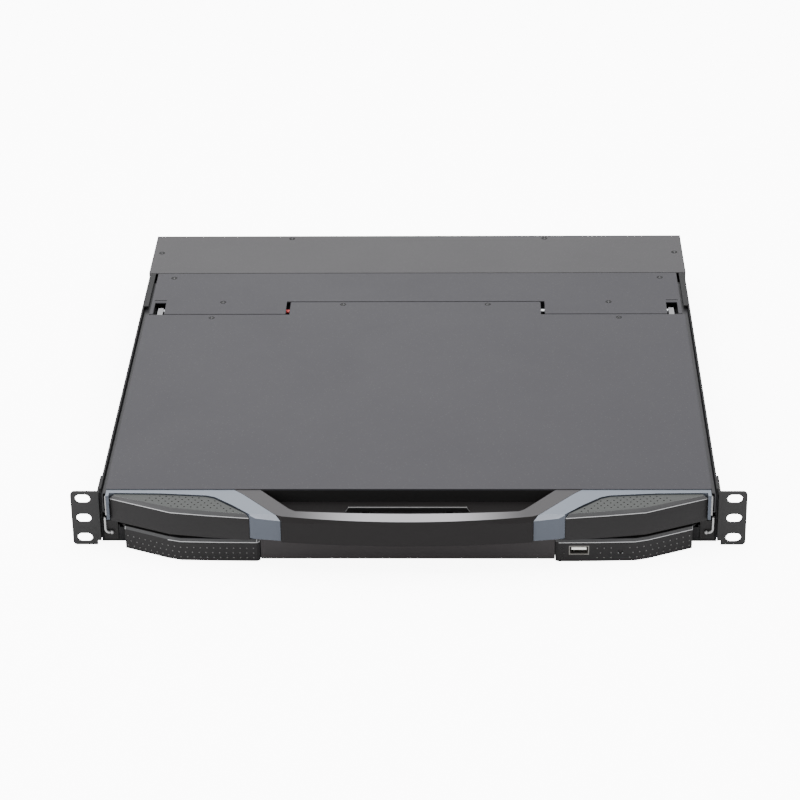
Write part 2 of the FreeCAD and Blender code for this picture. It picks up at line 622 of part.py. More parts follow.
# ================================================================ chassis
def chassis_pan():
    """Floor, side walls, top flanges beside the hinge cover and the cover's screw tabs."""
    floor = mid_block(CASE_HALF, CASE_FRONT, CASE_REAR, BOTTOM, PAN_TOP)
    wall = block(WALL_IN, CASE_HALF, CASE_FRONT, COVER_FRONT, PAN_TOP, TOP)
    rear_wall = block(WALL_IN, CASE_HALF, COVER_FRONT, CASE_REAR, PAN_TOP, TOP - SHEET)
    flange = block(CASE_HALF - TOP_FLANGE, WALL_IN, HINGE_Y, STRIP_REAR, TOP - SHEET, TOP)
    x, y = SIDE_SCREWS[1]
    half = SCREW_TAB / 2
    tab = block(x - half, WALL_IN, y - half, y + half, TOP - 2 * SHEET, TOP - SHEET)
    side = fuse([wall, rear_wall, flange, tab])
    pan = fuse([floor, side, mirrored(side)])
    return cut(pan, ear_screws() + screws(SIDE_SCREWS))


def rear_cover():
    edge = CASE_HALF + COVER_SHEET
    top = mid_block(edge, COVER_FRONT, CASE_REAR, TOP - SHEET, TOP)
    side = block(CASE_HALF, edge, COVER_FRONT, CASE_REAR, TOP - COVER_RETURN, TOP - SHEET)
    return cut(fuse([top, side, mirrored(side)]), screws(SIDE_SCREWS + REAR_SCREWS))


def rear_panel():
    """Rear wall with the connector cut-outs and a flange for the cover screws."""
    front = CASE_REAR - SHEET
    low, high = PAN_TOP, TOP - SHEET
    wall = mid_block(WALL_IN, front, CASE_REAR, low, high)
    flange_front = 2 * REAR_SCREWS[0][1] - CASE_REAR
    flange = mid_block(WALL_IN - PANEL_FLANGE_INSET, flange_front, front, high - SHEET, high)
    room = 2 * FIT
    through = 2 * PORT_WELL
    video = around(VIDEO_X, CASE_REAR, PORT_Z, VIDEO_WIDTH + room, through, VIDEO_HEIGHT + room)
    device = around(DEVICE_X, CASE_REAR, PORT_Z, DEVICE_WIDTH + room, through, DEVICE_HEIGHT + room)
    return cut(fuse([wall, flange]), [inlet_body(), rocker_body(), video, device] + screws(REAR_SCREWS))


def rack_ear():
    """Right-hand ear: slotted face and a flange that lies on the chassis wall."""
    out = CASE_HALF + EAR_REACH
    face = block(CASE_HALF, out, -EAR_THICKNESS, 0, BOTTOM, TOP)
    boxes = [(edge, edge.BoundBox) for edge in face.Edges]
    corners = [edge for edge, box in boxes if box.XMin > out - RUN and box.ZLength < RUN]
    face = face.makeFillet(EAR_CORNER, corners)
    face = cut(face, [rack_slot(HOLE_SPAN / 2, row * HOLE_PITCH) for row in (-1, 0, 1)])
    flange = block(CASE_HALF, CASE_HALF + EAR_THICKNESS, -EAR_THICKNESS, EAR_RETURN,
                   BOTTOM + EAR_RELIEF, TOP - EAR_RELIEF)
    notch = block(CASE_HALF - OVERCUT, CASE_HALF + EAR_NOTCH, -EAR_THICKNESS - OVERCUT, OVERCUT,
                  BOTTOM - OVERCUT, BOTTOM + EAR_RELIEF)
    return cut(fuse([face, flange]), [notch] + ear_screws())


def rack_slot(x, z):
    """Obround slot along X, cut through the ear."""
    radius = SLOT_WIDTH / 2
    reach = SLOT_LENGTH / 2 - radius
    start = -EAR_THICKNESS - OVERCUT
    depth = EAR_THICKNESS + 2 * OVERCUT
    bar = block(x - reach, x + reach, start, start + depth, z - radius, z + radius)
    ends = [rod(radius, V(x + side * reach, start, z), depth, ALONG_Y) for side in (-1, 1)]
    return fuse([bar] + ends)


# ================================================================ slides
def channel(x_web, x_tip, centre, height, opens_in):
    """C section: web at x_web, flanges out to x_tip."""
    half = height / 2
    side = -1 if opens_in else 1
    inner = x_web + side * SLIDE_SHEET
    bend = x_web + side * SLIDE_BEND
    points = [
        (x_web, centre - half + SLIDE_BEND), (x_web, centre + half - SLIDE_BEND), (bend, centre + half),
        (x_tip, centre + half), (x_tip, centre + half - SLIDE_SHEET),
        (inner, centre + half - SLIDE_SHEET), (inner, centre - half + SLIDE_SHEET),
        (x_tip, centre - half + SLIDE_SHEET), (x_tip, centre - half), (bend, centre - half),
    ]
    return section_y(points, CASE_FRONT, CASE_FRONT + SLIDE_LENGTH)


MIDDLE_HEIGHT = SLIDE_HEIGHT - 2 * (SLIDE_SHEET + OUTER_RACE)
INNER_HEIGHT = MIDDLE_HEIGHT - 2 * (SLIDE_SHEET + INNER_RACE)
OUTER_TIP = SLIDE_IN + OUTER_LIP
MIDDLE_WEB = WALL_IN - SLIDE_SHEET - WEB_GAP
MIDDLE_TIP = SLIDE_IN + SLIDE_SHEET + LIP_GAP
INNER_TIP = MIDDLE_WEB - SLIDE_SHEET - WEB_GAP


def slide_outer(centre):
    return channel(WALL_IN, OUTER_TIP, centre, SLIDE_HEIGHT, True)


def slide_middle(centre):
    return channel(MIDDLE_WEB, MIDDLE_TIP, centre, MIDDLE_HEIGHT, True)


def slide_inner(centre):
    return channel(SLIDE_IN, INNER_TIP, centre, INNER_HEIGHT, False)


def ball(radius, x, y, z):
    """Ball drawn with flats: rings at three eighths and seven eighths of a right angle."""
    near, far = math.pi / 8, 3 * math.pi / 8
    rings = [(math.cos(tilt) * radius, math.sin(tilt) * radius) for tilt in (-far, -near, near, far)]
    return turned(rings, V(x, y, z), ALONG_Z)


def cage_strip(x, z, race):
    """Ball retainer: a thin strip with balls that just fill the race."""
    length = CAGE_SHARE * SLIDE_LENGTH
    start = CASE_FRONT + (SLIDE_LENGTH - length) / 2
    strip = around(x, start + length / 2, z, CAGE_WIDTH, length, CAGE_FILL * race)
    pitch = length / CAGE_BALLS
    places = [start + pitch * (i + 0.5) for i in range(CAGE_BALLS)]
    return fuse([strip] + [ball(race / 2 - RUN, x, y, z) for y in places])


def cages(x, centre, inner_height, race):
    """Retainers above and below the inner of two members, at both sides."""
    reach = inner_height / 2 + race / 2
    strips = [cage_strip(x, centre + side * reach, race) for side in (-1, 1)]
    return group(strips + [mirrored(strip) for strip in strips])


def outer_cages(centre):
    return cages((OUTER_TIP + MIDDLE_WEB) / 2, centre, MIDDLE_HEIGHT, OUTER_RACE)


def inner_cages(centre):
    return cages((MIDDLE_TIP + INNER_TIP) / 2, centre, INNER_HEIGHT, INNER_RACE)


# ================================================================ rear electronics
def inlet_body():
    y = CASE_REAR - INLET_DEPTH / 2
    return around(INLET_X, y, PORT_Z, INLET_WIDTH, INLET_DEPTH, INLET_HEIGHT)


def power_inlet():
    """Three-pin inlet: flanged body with an open socket, chamfered at the top, and its pins."""
    rear = CASE_REAR + INLET_FLANGE
    flange = around(INLET_X, CASE_REAR + INLET_FLANGE / 2, PORT_Z,
                    INLET_WIDTH + 2 * INLET_RIM, INLET_FLANGE, INLET_HEIGHT + 2 * INLET_RIM)
    half, rise = INLET_WIDTH / 2 - INLET_RIM, INLET_HEIGHT / 2 - INLET_RIM
    left, right, low, high = INLET_X - half, INLET_X + half, PORT_Z - rise, PORT_Z + rise
    mouth = [(left, low), (right, low), (right, high - INLET_CORNER), (right - INLET_CORNER, high),
             (left + INLET_CORNER, high), (left, high - INLET_CORNER)]
    floor = CASE_REAR - INLET_SOCKET
    shell = cut(fuse([inlet_body(), flange]), [section_y(mouth, floor, rear + OVERCUT)])
    length = INLET_SOCKET - PIN_SHORT
    y = floor + length / 2
    live = [around(INLET_X + side * PIN_PITCH, y, PORT_Z - PIN_HEIGHT / 2, PIN_WIDTH, length, PIN_HEIGHT)
            for side in (-1, 1)]
    earth = around(INLET_X, y, PORT_Z + PIN_HEIGHT - PIN_WIDTH / 4, PIN_WIDTH, length, PIN_HEIGHT)
    return group([shell] + live + [earth])


def rocker_body():
    return around(ROCKER_X, CASE_REAR - ROCKER_DEPTH / 2, PORT_Z,
                  ROCKER_WIDTH + 2 * ROCKER_RIM, ROCKER_DEPTH, ROCKER_HEIGHT + 2 * ROCKER_RIM)


def rocker_frame():
    """Switch body with its rim, its well and the pin that the rocker turns on."""
    rim = around(ROCKER_X, CASE_REAR + SHEET / 2, PORT_Z,
                 ROCKER_WIDTH + 4 * ROCKER_RIM, SHEET, ROCKER_HEIGHT + 4 * ROCKER_RIM)
    depth = ROCKER_WELL + SHEET + OVERCUT
    well_y = CASE_REAR - ROCKER_WELL + depth / 2
    well = around(ROCKER_X, well_y, PORT_Z, ROCKER_WIDTH, depth, ROCKER_HEIGHT)
    reach = ROCKER_WIDTH / 2 + ROCKER_RIM / 2
    pin = rod(ROCKER_PIN, V(ROCKER_X - reach, ROCKER_Y, PORT_Z), 2 * reach, ALONG_X)
    return fuse([cut(fuse([rocker_body(), rim]), [well]), pin])


def power_rocker():
    """Rocker at its off position, pivoting on the frame's pin."""
    half, rise = ROCKER_WIDTH / 2 - FIT, ROCKER_HEIGHT / 2 - 3.5 * FIT
    y, z, out = ROCKER_Y, PORT_Z, ROCKER_PROUD
    shoulder, root, keel = 0.65 * out, 0.32 * rise, 0.76 * out
    points = [(y - keel, z - root), (y + shoulder, z - rise), (y + out, z - rise + ROCKER_RIM),
              (y + 0.56 * out, z), (y + out, z + rise - ROCKER_RIM), (y + shoulder, z + rise),
              (y - keel, z + root)]
    body = section_x(points, ROCKER_X - half, ROCKER_X + half)
    bore = rod(ROCKER_PIN + RUN, V(ROCKER_X - half - OVERCUT, y, z), 2 * (half + OVERCUT), ALONG_X)
    rocker = cut(body, [bore])
    rocker.rotate(V(ROCKER_X, y, z), ALONG_X, -ROCKER_ANGLE)
    return rocker


def video_outline(inset):
    """Section of the video connector's shell, narrower at the bottom."""
    half, rise = VIDEO_WIDTH / 2 - inset, VIDEO_HEIGHT / 2 - inset
    foot = half - VIDEO_TAPER
    return [(VIDEO_X - half, PORT_Z + rise), (VIDEO_X - foot, PORT_Z - rise),
            (VIDEO_X + foot, PORT_Z - rise), (VIDEO_X + half, PORT_Z + rise)]


def console_ports():
    """Video and device connectors on the rear edge of the main board."""
    front, panel = CASE_REAR - PORT_DEPTH, CASE_REAR - SHEET
    half, rise = VIDEO_WIDTH / 2, VIDEO_HEIGHT / 2
    rim = CASE_REAR + VIDEO_REACH
    shell = section_y(video_outline(0), panel, rim)
    recess = section_y(video_outline(VIDEO_WALL), rim - VIDEO_RECESS, rim + OVERCUT)
    foot = block(VIDEO_X - half, VIDEO_X + half, front, panel, BOARD_TOP, PORT_Z + rise)
    edge, top = DEVICE_WIDTH / 2, PORT_Z + DEVICE_HEIGHT / 2
    device = block(DEVICE_X - edge, DEVICE_X + edge, front, CASE_REAR + WEB_GAP, BOARD_TOP, top)
    mouth = DEVICE_WIDTH - 2 * DEVICE_WALL
    well = around(DEVICE_X, CASE_REAR, PORT_Z, mouth, 2 * PORT_WELL, mouth)
    tongue = block(DEVICE_X - mouth / 3, DEVICE_X + mouth / 3, CASE_REAR - PORT_WELL, panel,
                   PORT_Z - DEVICE_WALL, PORT_Z + DEVICE_WALL)
    return group([fuse([cut(shell, [recess]), foot]), fuse([cut(device, [well]), tongue])])


def bare_main_board():
    left, right = (share * WALL_IN for share in BOARD_SHARES)
    return block(left, right, BOARD_FRONT, BOARD_REAR, BOARD_Z, BOARD_TOP)


def bare_supply_board():
    left, right = (share * WALL_IN for share in SUPPLY_SHARES)
    return block(left, right, SUPPLY_FRONT, SUPPLY_REAR, BOARD_Z, BOARD_TOP)


def main_board():
    """Console electronics: board with its processor, memory and magnetics."""
    board = bare_main_board()
    return fuse([board] + parts_on(board, BOARD_PARTS, PARTS_ROOM))


def board_posts():
    """Threaded posts between the chassis floor and the corners of the boards."""
    posts = []
    for board in (bare_main_board(), bare_supply_board()):
        box = board.BoundBox
        for x in (box.XMin + STANDOFF_INSET, box.XMax - STANDOFF_INSET):
            for y in (box.YMin + STANDOFF_INSET, box.YMax - STANDOFF_INSET):
                posts.append(post(STANDOFF_RADIUS, x, y, PAN_TOP, BOARD_Z, HEX_COUNT))
    return group(posts)


def power_supply():
    """Open-frame supply: board, heat sink with fins, transformer, choke and capacitors."""
    board = bare_supply_board()
    box = board.BoundBox
    top = BOARD_TOP + PARTS_ROOM
    sink_x = box.XMin + FIN_REACH
    run = box.YLength - 4 * STANDOFF_INSET
    start = box.YMin + STANDOFF_INSET
    sink = [block(sink_x, sink_x + 2 * FIN_SHEET, start, start + run, BOARD_TOP, top)]
    fin_x = sink_x + 2 * FIN_SHEET
    for i in range(FIN_COUNT):
        y = start + (i + 0.5) * run / FIN_COUNT
        sink.append(block(fin_x, fin_x + FIN_REACH, y, y + FIN_SHEET, BOARD_TOP, top))
    cans = [post(CAN_RADIUS, box.XMin + x * box.XLength, box.YMin + y * box.YLength, BOARD_TOP, top)
            for x, y in SUPPLY_CANS]
    return fuse([board] + sink + parts_on(board, SUPPLY_PARTS, PARTS_ROOM) + cans)


# ================================================================ hinge carriage
def carriage_rail():
    """Right-hand L rail on the inner slide member: the closed lid lies on its foot."""
    web_in = SLIDE_IN - SHEET
    front = CASE_FRONT + RAIL_SETBACK
    web = block(web_in, SLIDE_IN, front, STRIP_REAR, BEAM_FLOOR, UPPER_SLIDE_Z + INNER_HEIGHT / 2)
    foot = block(web_in - RAIL_FOOT, web_in, front, STRIP_REAR - SHEET, BEAM_FLOOR, RAIL_TOP)
    return fuse([web, foot])


def carriage_beam():
    """Cross beam under the hinge cover: floor, rear wall and screw posts."""
    half = SLIDE_IN - SHEET
    floor = mid_block(half - RAIL_FOOT, LOBE_FRONT + BEAM_SETBACK, STRIP_REAR, BEAM_FLOOR, RAIL_TOP)
    rear = mid_block(half, STRIP_REAR - SHEET, STRIP_REAR, RAIL_TOP, TOP - SHEET)
    posts = [post(BOSS_RADIUS, x, y, RAIL_TOP, TOP - SHEET) for x, y in STRIP_SCREWS]
    return cut(fuse([floor, rear] + posts), screws(STRIP_SCREWS))


def hinge_cover():
    """Top cover of the carriage: two lobes beside the tab's bay, corner notches and folded fronts."""
    sheet_low = TOP - SHEET
    tool_low, tool_high = sheet_low - OVERCUT, TOP + OVERCUT
    bay_rear = TAB_REAR + PANEL_GAP + SEAT
    top = mid_block(STRIP_HALF, LOBE_FRONT, STRIP_REAR, sheet_low, TOP)
    bay = mid_block(SLOT_EDGE, LOBE_FRONT - OVERCUT, bay_rear, tool_low, tool_high)
    notch_out = STRIP_HALF - NOTCH_EDGE
    notch_in = notch_out - NOTCH_WIDTH
    notch_rear = HINGE_Y + NOTCH_REACH
    notch = block(notch_in, notch_out, LOBE_FRONT - OVERCUT, notch_rear, tool_low, tool_high)
    slit_front = notch_rear + SLIT_BRIDGE
    slit = block(notch_in, notch_out + OVERCUT, slit_front, slit_front + SLIT_WIDTH, tool_low, tool_high)
    low = HINGE_Z - BARREL_RADIUS - FOLD_REACH
    fold = bay_rear + FOLD_SETBACK
    front = block(SLOT_EDGE, notch_in, LOBE_FRONT, LOBE_FRONT + SHEET, low, sheet_low)
    side = block(SLOT_EDGE, SLOT_EDGE + SHEET, LOBE_FRONT, fold, low, sheet_low)
    centre = mid_block(SLOT_EDGE + SHEET, fold, fold + SHEET, low, sheet_low)
    port_radius = SHAFT_RADIUS + OVERCUT
    port = turned([(port_radius, 0), (port_radius, SHEET + 2 * OVERCUT)],
                  V(SLOT_EDGE - OVERCUT, HINGE_Y, HINGE_Z), ALONG_X)
    side = side.cut(port)
    sheet = cut(top, [bay, notch, slit, mirrored(notch), mirrored(slit)] + screws(STRIP_SCREWS))
    return fuse([sheet, front, mirrored(front), side, mirrored(side), centre])


def hinge_barrel():
    """Right-hand friction hinge: barrel on a web, with a foot on the beam."""
    end = BARREL_START + BARREL_LENGTH
    web_start, web_end = BARREL_START + BARREL_END, end - BARREL_END
    barrel = rod(BARREL_RADIUS, V(BARREL_START, HINGE_Y, HINGE_Z), BARREL_LENGTH, ALONG_X)
    web = block(web_start, web_end, HINGE_Y - BARREL_WEB / 2, HINGE_Y + BARREL_WEB / 2, RAIL_TOP, HINGE_Z)
    foot = block(web_start, web_end, HINGE_Y - BARREL_FOOT, HINGE_Y + BARREL_HEEL,
                 RAIL_TOP, RAIL_TOP + BARREL_HEEL)
    start = V(BARREL_START - OVERCUT, HINGE_Y, HINGE_Z)
    bore = rod(SHAFT_RADIUS + RUN, start, BARREL_LENGTH + 2 * OVERCUT, ALONG_X)
    return cut(fuse([barrel, web, foot]), [bore])


def hinge_shafts():
    """Right shaft reaches from the tab to the arm; the left one leaves its slot to the cable."""
    inner = TAB_HALF - HOUSING_WALL - SHAFT_GRIP
    right = rod(SHAFT_RADIUS, V(inner, HINGE_Y, HINGE_Z), ARM_END - inner, ALONG_X)
    left_start = BARREL_START + SHAFT_RADIUS
    left = rod(SHAFT_RADIUS, V(-ARM_END, HINGE_Y, HINGE_Z), ARM_END - left_start, ALONG_X)
    return group([right, left])


def display_cable():
    """Display lead: crosses the left slot on the hinge axis, then bends down to the beam."""
    bend = CABLE_BEND
    turn_x = -(SLOT_EDGE + SHEET + WEB_GAP)
    start = V(-(TAB_HALF - 2 * HOUSING_WALL), HINGE_Y, HINGE_Z)
    turn = V(turn_x, HINGE_Y, HINGE_Z)
    half_turn = math.pi / 4
    middle = V(turn_x - bend * math.sin(half_turn), HINGE_Y, HINGE_Z - bend * (1 - math.cos(half_turn)))
    down = V(turn_x - bend, HINGE_Y, HINGE_Z - bend)
    foot = V(turn_x - bend, HINGE_Y, RAIL_TOP)
    path = Part.Wire([Part.LineSegment(start, turn).toShape(), Part.Arc(turn, middle, down).toShape(),
                      Part.LineSegment(down, foot).toShape()])
    corners = ring(CABLE_RADIUS, 0, FLAT_COUNT)
    profile = Part.makePolygon(corners + corners[:1])
    profile.Placement = FreeCAD.Placement(start, FreeCAD.Rotation(ALONG_Z, V(-1, 0, 0)))
    return path.makePipeShell([profile], True, False)


# ================================================================ display lid
def lid_cover():
    """Sheet cover with the centre tab, folded side edges and countersunk screws."""
    outline = [(-LID_HALF, LID_FRONT), (LID_HALF, LID_FRONT), (LID_HALF, LID_REAR), (TAB_HALF, LID_REAR),
               (TAB_HALF, TAB_REAR), (-TAB_HALF, TAB_REAR), (-TAB_HALF, LID_REAR), (-LID_HALF, LID_REAR)]
    plate = prism(outline, LID_TOP, TOP)

    def outer_corner(point):
        return point.y > TAB_REAR - RUN or abs(point.x) > LID_HALF - RUN

    plate = plate.makeFillet(LID_CORNER, upright_edges(plate, outer_corner))
    hem = block(LID_HALF - SHEET, LID_HALF, LID_FRONT + LID_HEM_SETBACK, LID_REAR - LID_HEM_SETBACK,
                LID_TOP - LID_HEM, LID_TOP)
    return cut(fuse([plate, hem, mirrored(hem)]), screws(LID_SCREWS))


def button_places():
    first = -(BUTTON_COUNT - 1) / 2 * BUTTON_PITCH
    return [first + i * BUTTON_PITCH for i in range(BUTTON_COUNT)]


def button_block(x, grow, low, high):
    """Upright block with a screen button's outline, larger all round by grow."""
    half, reach = BUTTON_WIDTH / 2 + grow, BUTTON_DEPTH / 2 + grow
    return block(x - half, x + half, BUTTON_Y - reach, BUTTON_Y + reach, low, high)


def button_hole(x):
    return button_block(x, FIT, LID_UNDERSIDE - OVERCUT, SCREEN_Z + OVERCUT)


def housing_boss(x, y):
    """Screw boss from the housing's inner face, or from the tab's floor, up to the plate."""
    low = SCREEN_Z if y < HOUSING_REAR else HINGE_Z - TAB_HEIGHT / 2 + HOUSING_WALL
    return post(BOSS_RADIUS, x, y, low, LID_TOP)


def lid_housing():
    """Moulded screen housing: bezel with window, side walls, hinge tab and screw bosses."""
    wall = HOUSING_WALL
    tab, tab_rear = TAB_HALF - TAB_INSET, TAB_REAR - TAB_INSET
    tab_low = HINGE_Z - TAB_HEIGHT / 2
    shell = mid_block(HOUSING_HALF, HOUSING_FRONT, HOUSING_REAR, LID_UNDERSIDE, LID_TOP)
    rear_corners = upright_edges(shell, lambda point: point.y > HOUSING_REAR - RUN)
    shell = shell.makeFillet(HOUSING_CORNER, rear_corners)
    tab_block = mid_block(tab, HOUSING_REAR - wall, tab_rear, tab_low, LID_TOP)
    over = LID_TOP + OVERCUT
    inner_rear = HOUSING_REAR - wall
    hollow = mid_block(HOUSING_HALF - wall, HOUSING_FRONT + wall, inner_rear, SCREEN_Z, over)
    tab_hollow = mid_block(tab - wall, inner_rear - OVERCUT, tab_rear - wall, tab_low + wall, over)
    picture_front = SCREEN_FRONT + SCREEN_BAND
    window = mid_block(PICTURE_HALF, picture_front, picture_front + PICTURE_DEPTH,
                       LID_UNDERSIDE - OVERCUT, SCREEN_Z + OVERCUT)
    arm_slot = block(ARM_IN, ARM_OUT, inner_rear - OVERCUT, HOUSING_REAR + OVERCUT, ARM_LOW, ARM_HIGH)
    through = wall + 2 * OVERCUT
    shaft_bore = rod(SHAFT_RADIUS, V(tab - wall - OVERCUT, HINGE_Y, HINGE_Z), through, ALONG_X)
    cable_bore = rod(CABLE_RADIUS + FIT, V(-tab - OVERCUT, HINGE_Y, HINGE_Z), through, ALONG_X)
    openings = [hollow, tab_hollow, window, arm_slot, mirrored(arm_slot), shaft_bore, cable_bore]
    openings += [button_hole(x) for x in button_places()]
    bosses = [housing_boss(x, y) for x, y in LID_SCREWS]
    return cut(fuse([cut(fuse([shell, tab_block]), openings)] + bosses), screws(LID_SCREWS))


def lid_arm():
    """Steel arm along the housing wall, with a knuckle that is keyed to the shaft end."""
    leaf = block(ARM_IN, ARM_OUT, HOUSING_REAR - ARM_REACH, HINGE_Y, ARM_LOW, ARM_HIGH)
    below = block(ARM_IN - OVERCUT, ARM_END, HOUSING_REAR + TAB_INSET, HINGE_Y + OVERCUT,
                  ARM_LOW - OVERCUT, HINGE_Z - ARM_HALF)
    knuckle = rod(ARM_HALF, V(ARM_IN, HINGE_Y, HINGE_Z), ARM_KNUCKLE, ALONG_X)
    neck = block(ARM_IN, ARM_END, HOUSING_REAR + WALL, HINGE_Y, HINGE_Z, ARM_HIGH)
    bore = rod(SHAFT_RADIUS, V(ARM_IN - OVERCUT, HINGE_Y, HINGE_Z), ARM_KNUCKLE + 2 * OVERCUT, ALONG_X)
    return cut(fuse([cut(leaf, [below]), knuckle, neck]), [bore])


def lcd_panel():
    rear = SCREEN_FRONT + SCREEN_DEPTH
    return mid_block(SCREEN_HALF, SCREEN_FRONT, rear, SCREEN_Z, SCREEN_Z + SCREEN_THICKNESS)


def lcd_driver():
    """Driver board on spacer feet on the back of the display module."""
    base = SCREEN_Z + SCREEN_THICKNESS
    half, depth = DRIVER_SHARE * SCREEN_HALF, DRIVER_BAND * SCREEN_DEPTH
    front = SCREEN_FRONT + depth
    board = mid_block(half, front, front + depth, base + DRIVER_LIFT, base + DRIVER_LIFT + BOARD_SHEET)
    feet = [post(STANDOFF_RADIUS, x, y, base, base + DRIVER_LIFT)
            for x in (STANDOFF_INSET - half, half - STANDOFF_INSET)
            for y in (front + STANDOFF_INSET, front + depth - STANDOFF_INSET)]
    room = LID_TOP - HEADROOM - base - DRIVER_LIFT - BOARD_SHEET
    return fuse([board] + feet + parts_on(board, DRIVER_PARTS, room))


def osd_board():
    """Small board that carries the button switches."""
    half = button_places()[-1] + 1.5 * BUTTON_WIDTH
    low = SCREEN_Z + BUTTON_LIFT
    board = mid_block(half, BUTTON_Y - BUTTON_BOARD / 2, BUTTON_Y + BUTTON_BOARD / 2, low, low + SHEET)
    leg_x = half - BUTTON_DEPTH / 2
    legs = [post(BOARD_SHEET, side * leg_x, BUTTON_Y, SCREEN_Z, low) for side in (-1, 1)]
    return fuse([board] + legs)


def osd_button(x):
    """Push button with a collar inside the bezel."""
    low = LID_UNDERSIDE - BUTTON_PROUD
    cap = button_block(x, 0, low, SCREEN_Z + FIT)
    cap = cap.makeChamfer(FIT, [edge for edge in cap.Edges if edge.BoundBox.ZMax < low + RUN])
    collar = button_block(x, BUTTON_COLLAR, SCREEN_Z + SEAT, SCREEN_Z + BUTTON_LIFT - 2 * FIT)
    return fuse([cap, collar])


# ================================================================ upper front
def front_points(shares):
    """Plan points of the upper front from their shares."""
    return [(x * LID_HALF, HOUSING_FRONT + y * HANDLE_REACH) for x, y in shares]


def trim_frame():
    """Left-hand trim: thin strip along the lid edge, wide diagonal and a foot with a facet."""
    outline = front_points(TRIM_START + TRIM_INNER + TRIM_FOOT + TRIM_OUTER + TRIM_END)
    body = prism(outline, FRONT_BOTTOM, FRONT_TOP)
    facet = loft(front_points(FACET_FOOT), FRONT_TOP - TRIM_FACET, front_points(FACET_TOP), FRONT_TOP)
    return cut(body, [facet])


def upper_grip():
    """Left-hand side grip: faceted front with a bevel below its top face."""
    outline = front_points(GRIP_FRONT + GRIP_REAR)
    crest = front_points(CREST_FRONT + CREST_REAR)
    base = prism(outline, FRONT_BOTTOM, GRIP_TOP - GRIP_BEVEL)
    return fuse([base, loft(outline, GRIP_TOP - GRIP_BEVEL, crest, GRIP_TOP)])


def mirrored_run(points, z):
    """Straight edges through the points, and the same at the other side, from rear to front."""
    near = [V(x, y, z) for x, y in points]
    far = [V(-x, y, z) for x, y in points]
    left = [Part.LineSegment(a, b).toShape() for a, b in zip(near, near[1:])]
    right = [Part.LineSegment(a, b).toShape() for a, b in zip(far, far[1:])]
    return left, right, near, far


def arched_wire(points, nose, z):
    """Plan outline that is open to the rear: straight sides and an arc through the nose."""
    left, right, near, far = mirrored_run(points, z)
    arc = Part.Arc(near[-1], V(0, nose, z), far[-1]).toShape()
    back = Part.LineSegment(far[0], near[0]).toShape()
    return Part.Wire(left + [arc] + right[::-1] + [back])


def handle_wire(z, nose, sag):
    """Plan outline of the handle at one height: arc nose, sides along the trim, straight back."""
    side = [(x + SEAM, y) for x, y in front_points(TRIM_INNER)]
    foot_x, foot_y = front_points(TRIM_FOOT)[0]
    side.append((foot_x + SEAM, max(foot_y, nose + sag + SEAM)))
    return arched_wire(side + [(-HANDLE_HALF, nose + sag)], nose, z)


def pocket_wire(z, grow):
    """Plan outline of the finger pocket; grow widens it for the lip."""
    nose = LID_FRONT - POCKET_REACH - grow
    front, corner, rear = (share * LID_HALF + grow for share in POCKET_SHARES)
    side = [(-rear, HOUSING_FRONT + OVERCUT), (-corner, nose + POCKET_SAG + POCKET_CORNER),
            (-front, nose + POCKET_SAG)]
    return arched_wire(side, nose, z)


def handle_cavity():
    """Space under the pocket floor, open below, for the catch's slider."""
    half = CATCH_HALF + CAVITY_MARGIN
    rear = CATCH_Y + SLIDER_DEPTH / 2 + CAVITY_MARGIN
    front = CATCH_Y - SLIDER_DEPTH / 2 - CATCH_TRAVEL - CAVITY_MARGIN
    return mid_block(half, front, rear, FRONT_BOTTOM - OVERCUT, CAVITY_TOP)


def catch_slots():
    """Slots in the pocket's floor for the catch's stems and their travel."""
    front = CATCH_Y - CATCH_THICKNESS - CATCH_TRAVEL - 2 * FIT
    half = CATCH_STEM / 2 + FIT
    return [block(x - half, x + half, front, CATCH_Y + FIT, CAVITY_TOP - OVERCUT, POCKET_FLOOR + OVERCUT)
            for x in (-CATCH_SPREAD, CATCH_SPREAD)]


def handle_bar():
    """Pull handle: curved nose with a bevel that fades at the middle, and the finger pocket behind it."""
    low_sag = HANDLE_SAG - BEVEL_RUN
    low = handle_wire(FRONT_BOTTOM, HANDLE_NOSE, low_sag)
    crest = handle_wire(FRONT_TOP - HANDLE_BEVEL, HANDLE_NOSE, low_sag)
    top = handle_wire(FRONT_TOP, HANDLE_NOSE + BEVEL_NOSE, HANDLE_SAG)
    body = Part.makeLoft([low, crest], True, True).fuse(Part.makeLoft([crest, top], True, True))
    pocket = Part.Face(pocket_wire(POCKET_FLOOR, 0)).extrude(V(0, 0, POCKET_DEPTH + OVERCUT))
    rim = [pocket_wire(FRONT_TOP - POCKET_LIP, 0), pocket_wire(FRONT_TOP + SEAT, POCKET_LIP)]
    lip = Part.makeLoft(rim, True, True)
    return cut(body, [pocket, lip, handle_cavity()] + catch_slots())


def handle_cover():
    """Cover that closes the slider's cavity from below, with two guide rails."""
    space = handle_cavity().BoundBox
    front, rear = space.YMin + FIT, space.YMax - FIT
    top = FRONT_BOTTOM + HANDLE_COVER
    plate = block(space.XMin + FIT, space.XMax - FIT, front, rear, FRONT_BOTTOM, top)
    half = GUIDE_WIDTH / 2
    guides = [block(x - half, x + half, front, rear, top, SLIDER_LOW - SEAT)
              for x in (-CATCH_SPREAD, CATCH_SPREAD)]
    return fuse([plate] + guides)


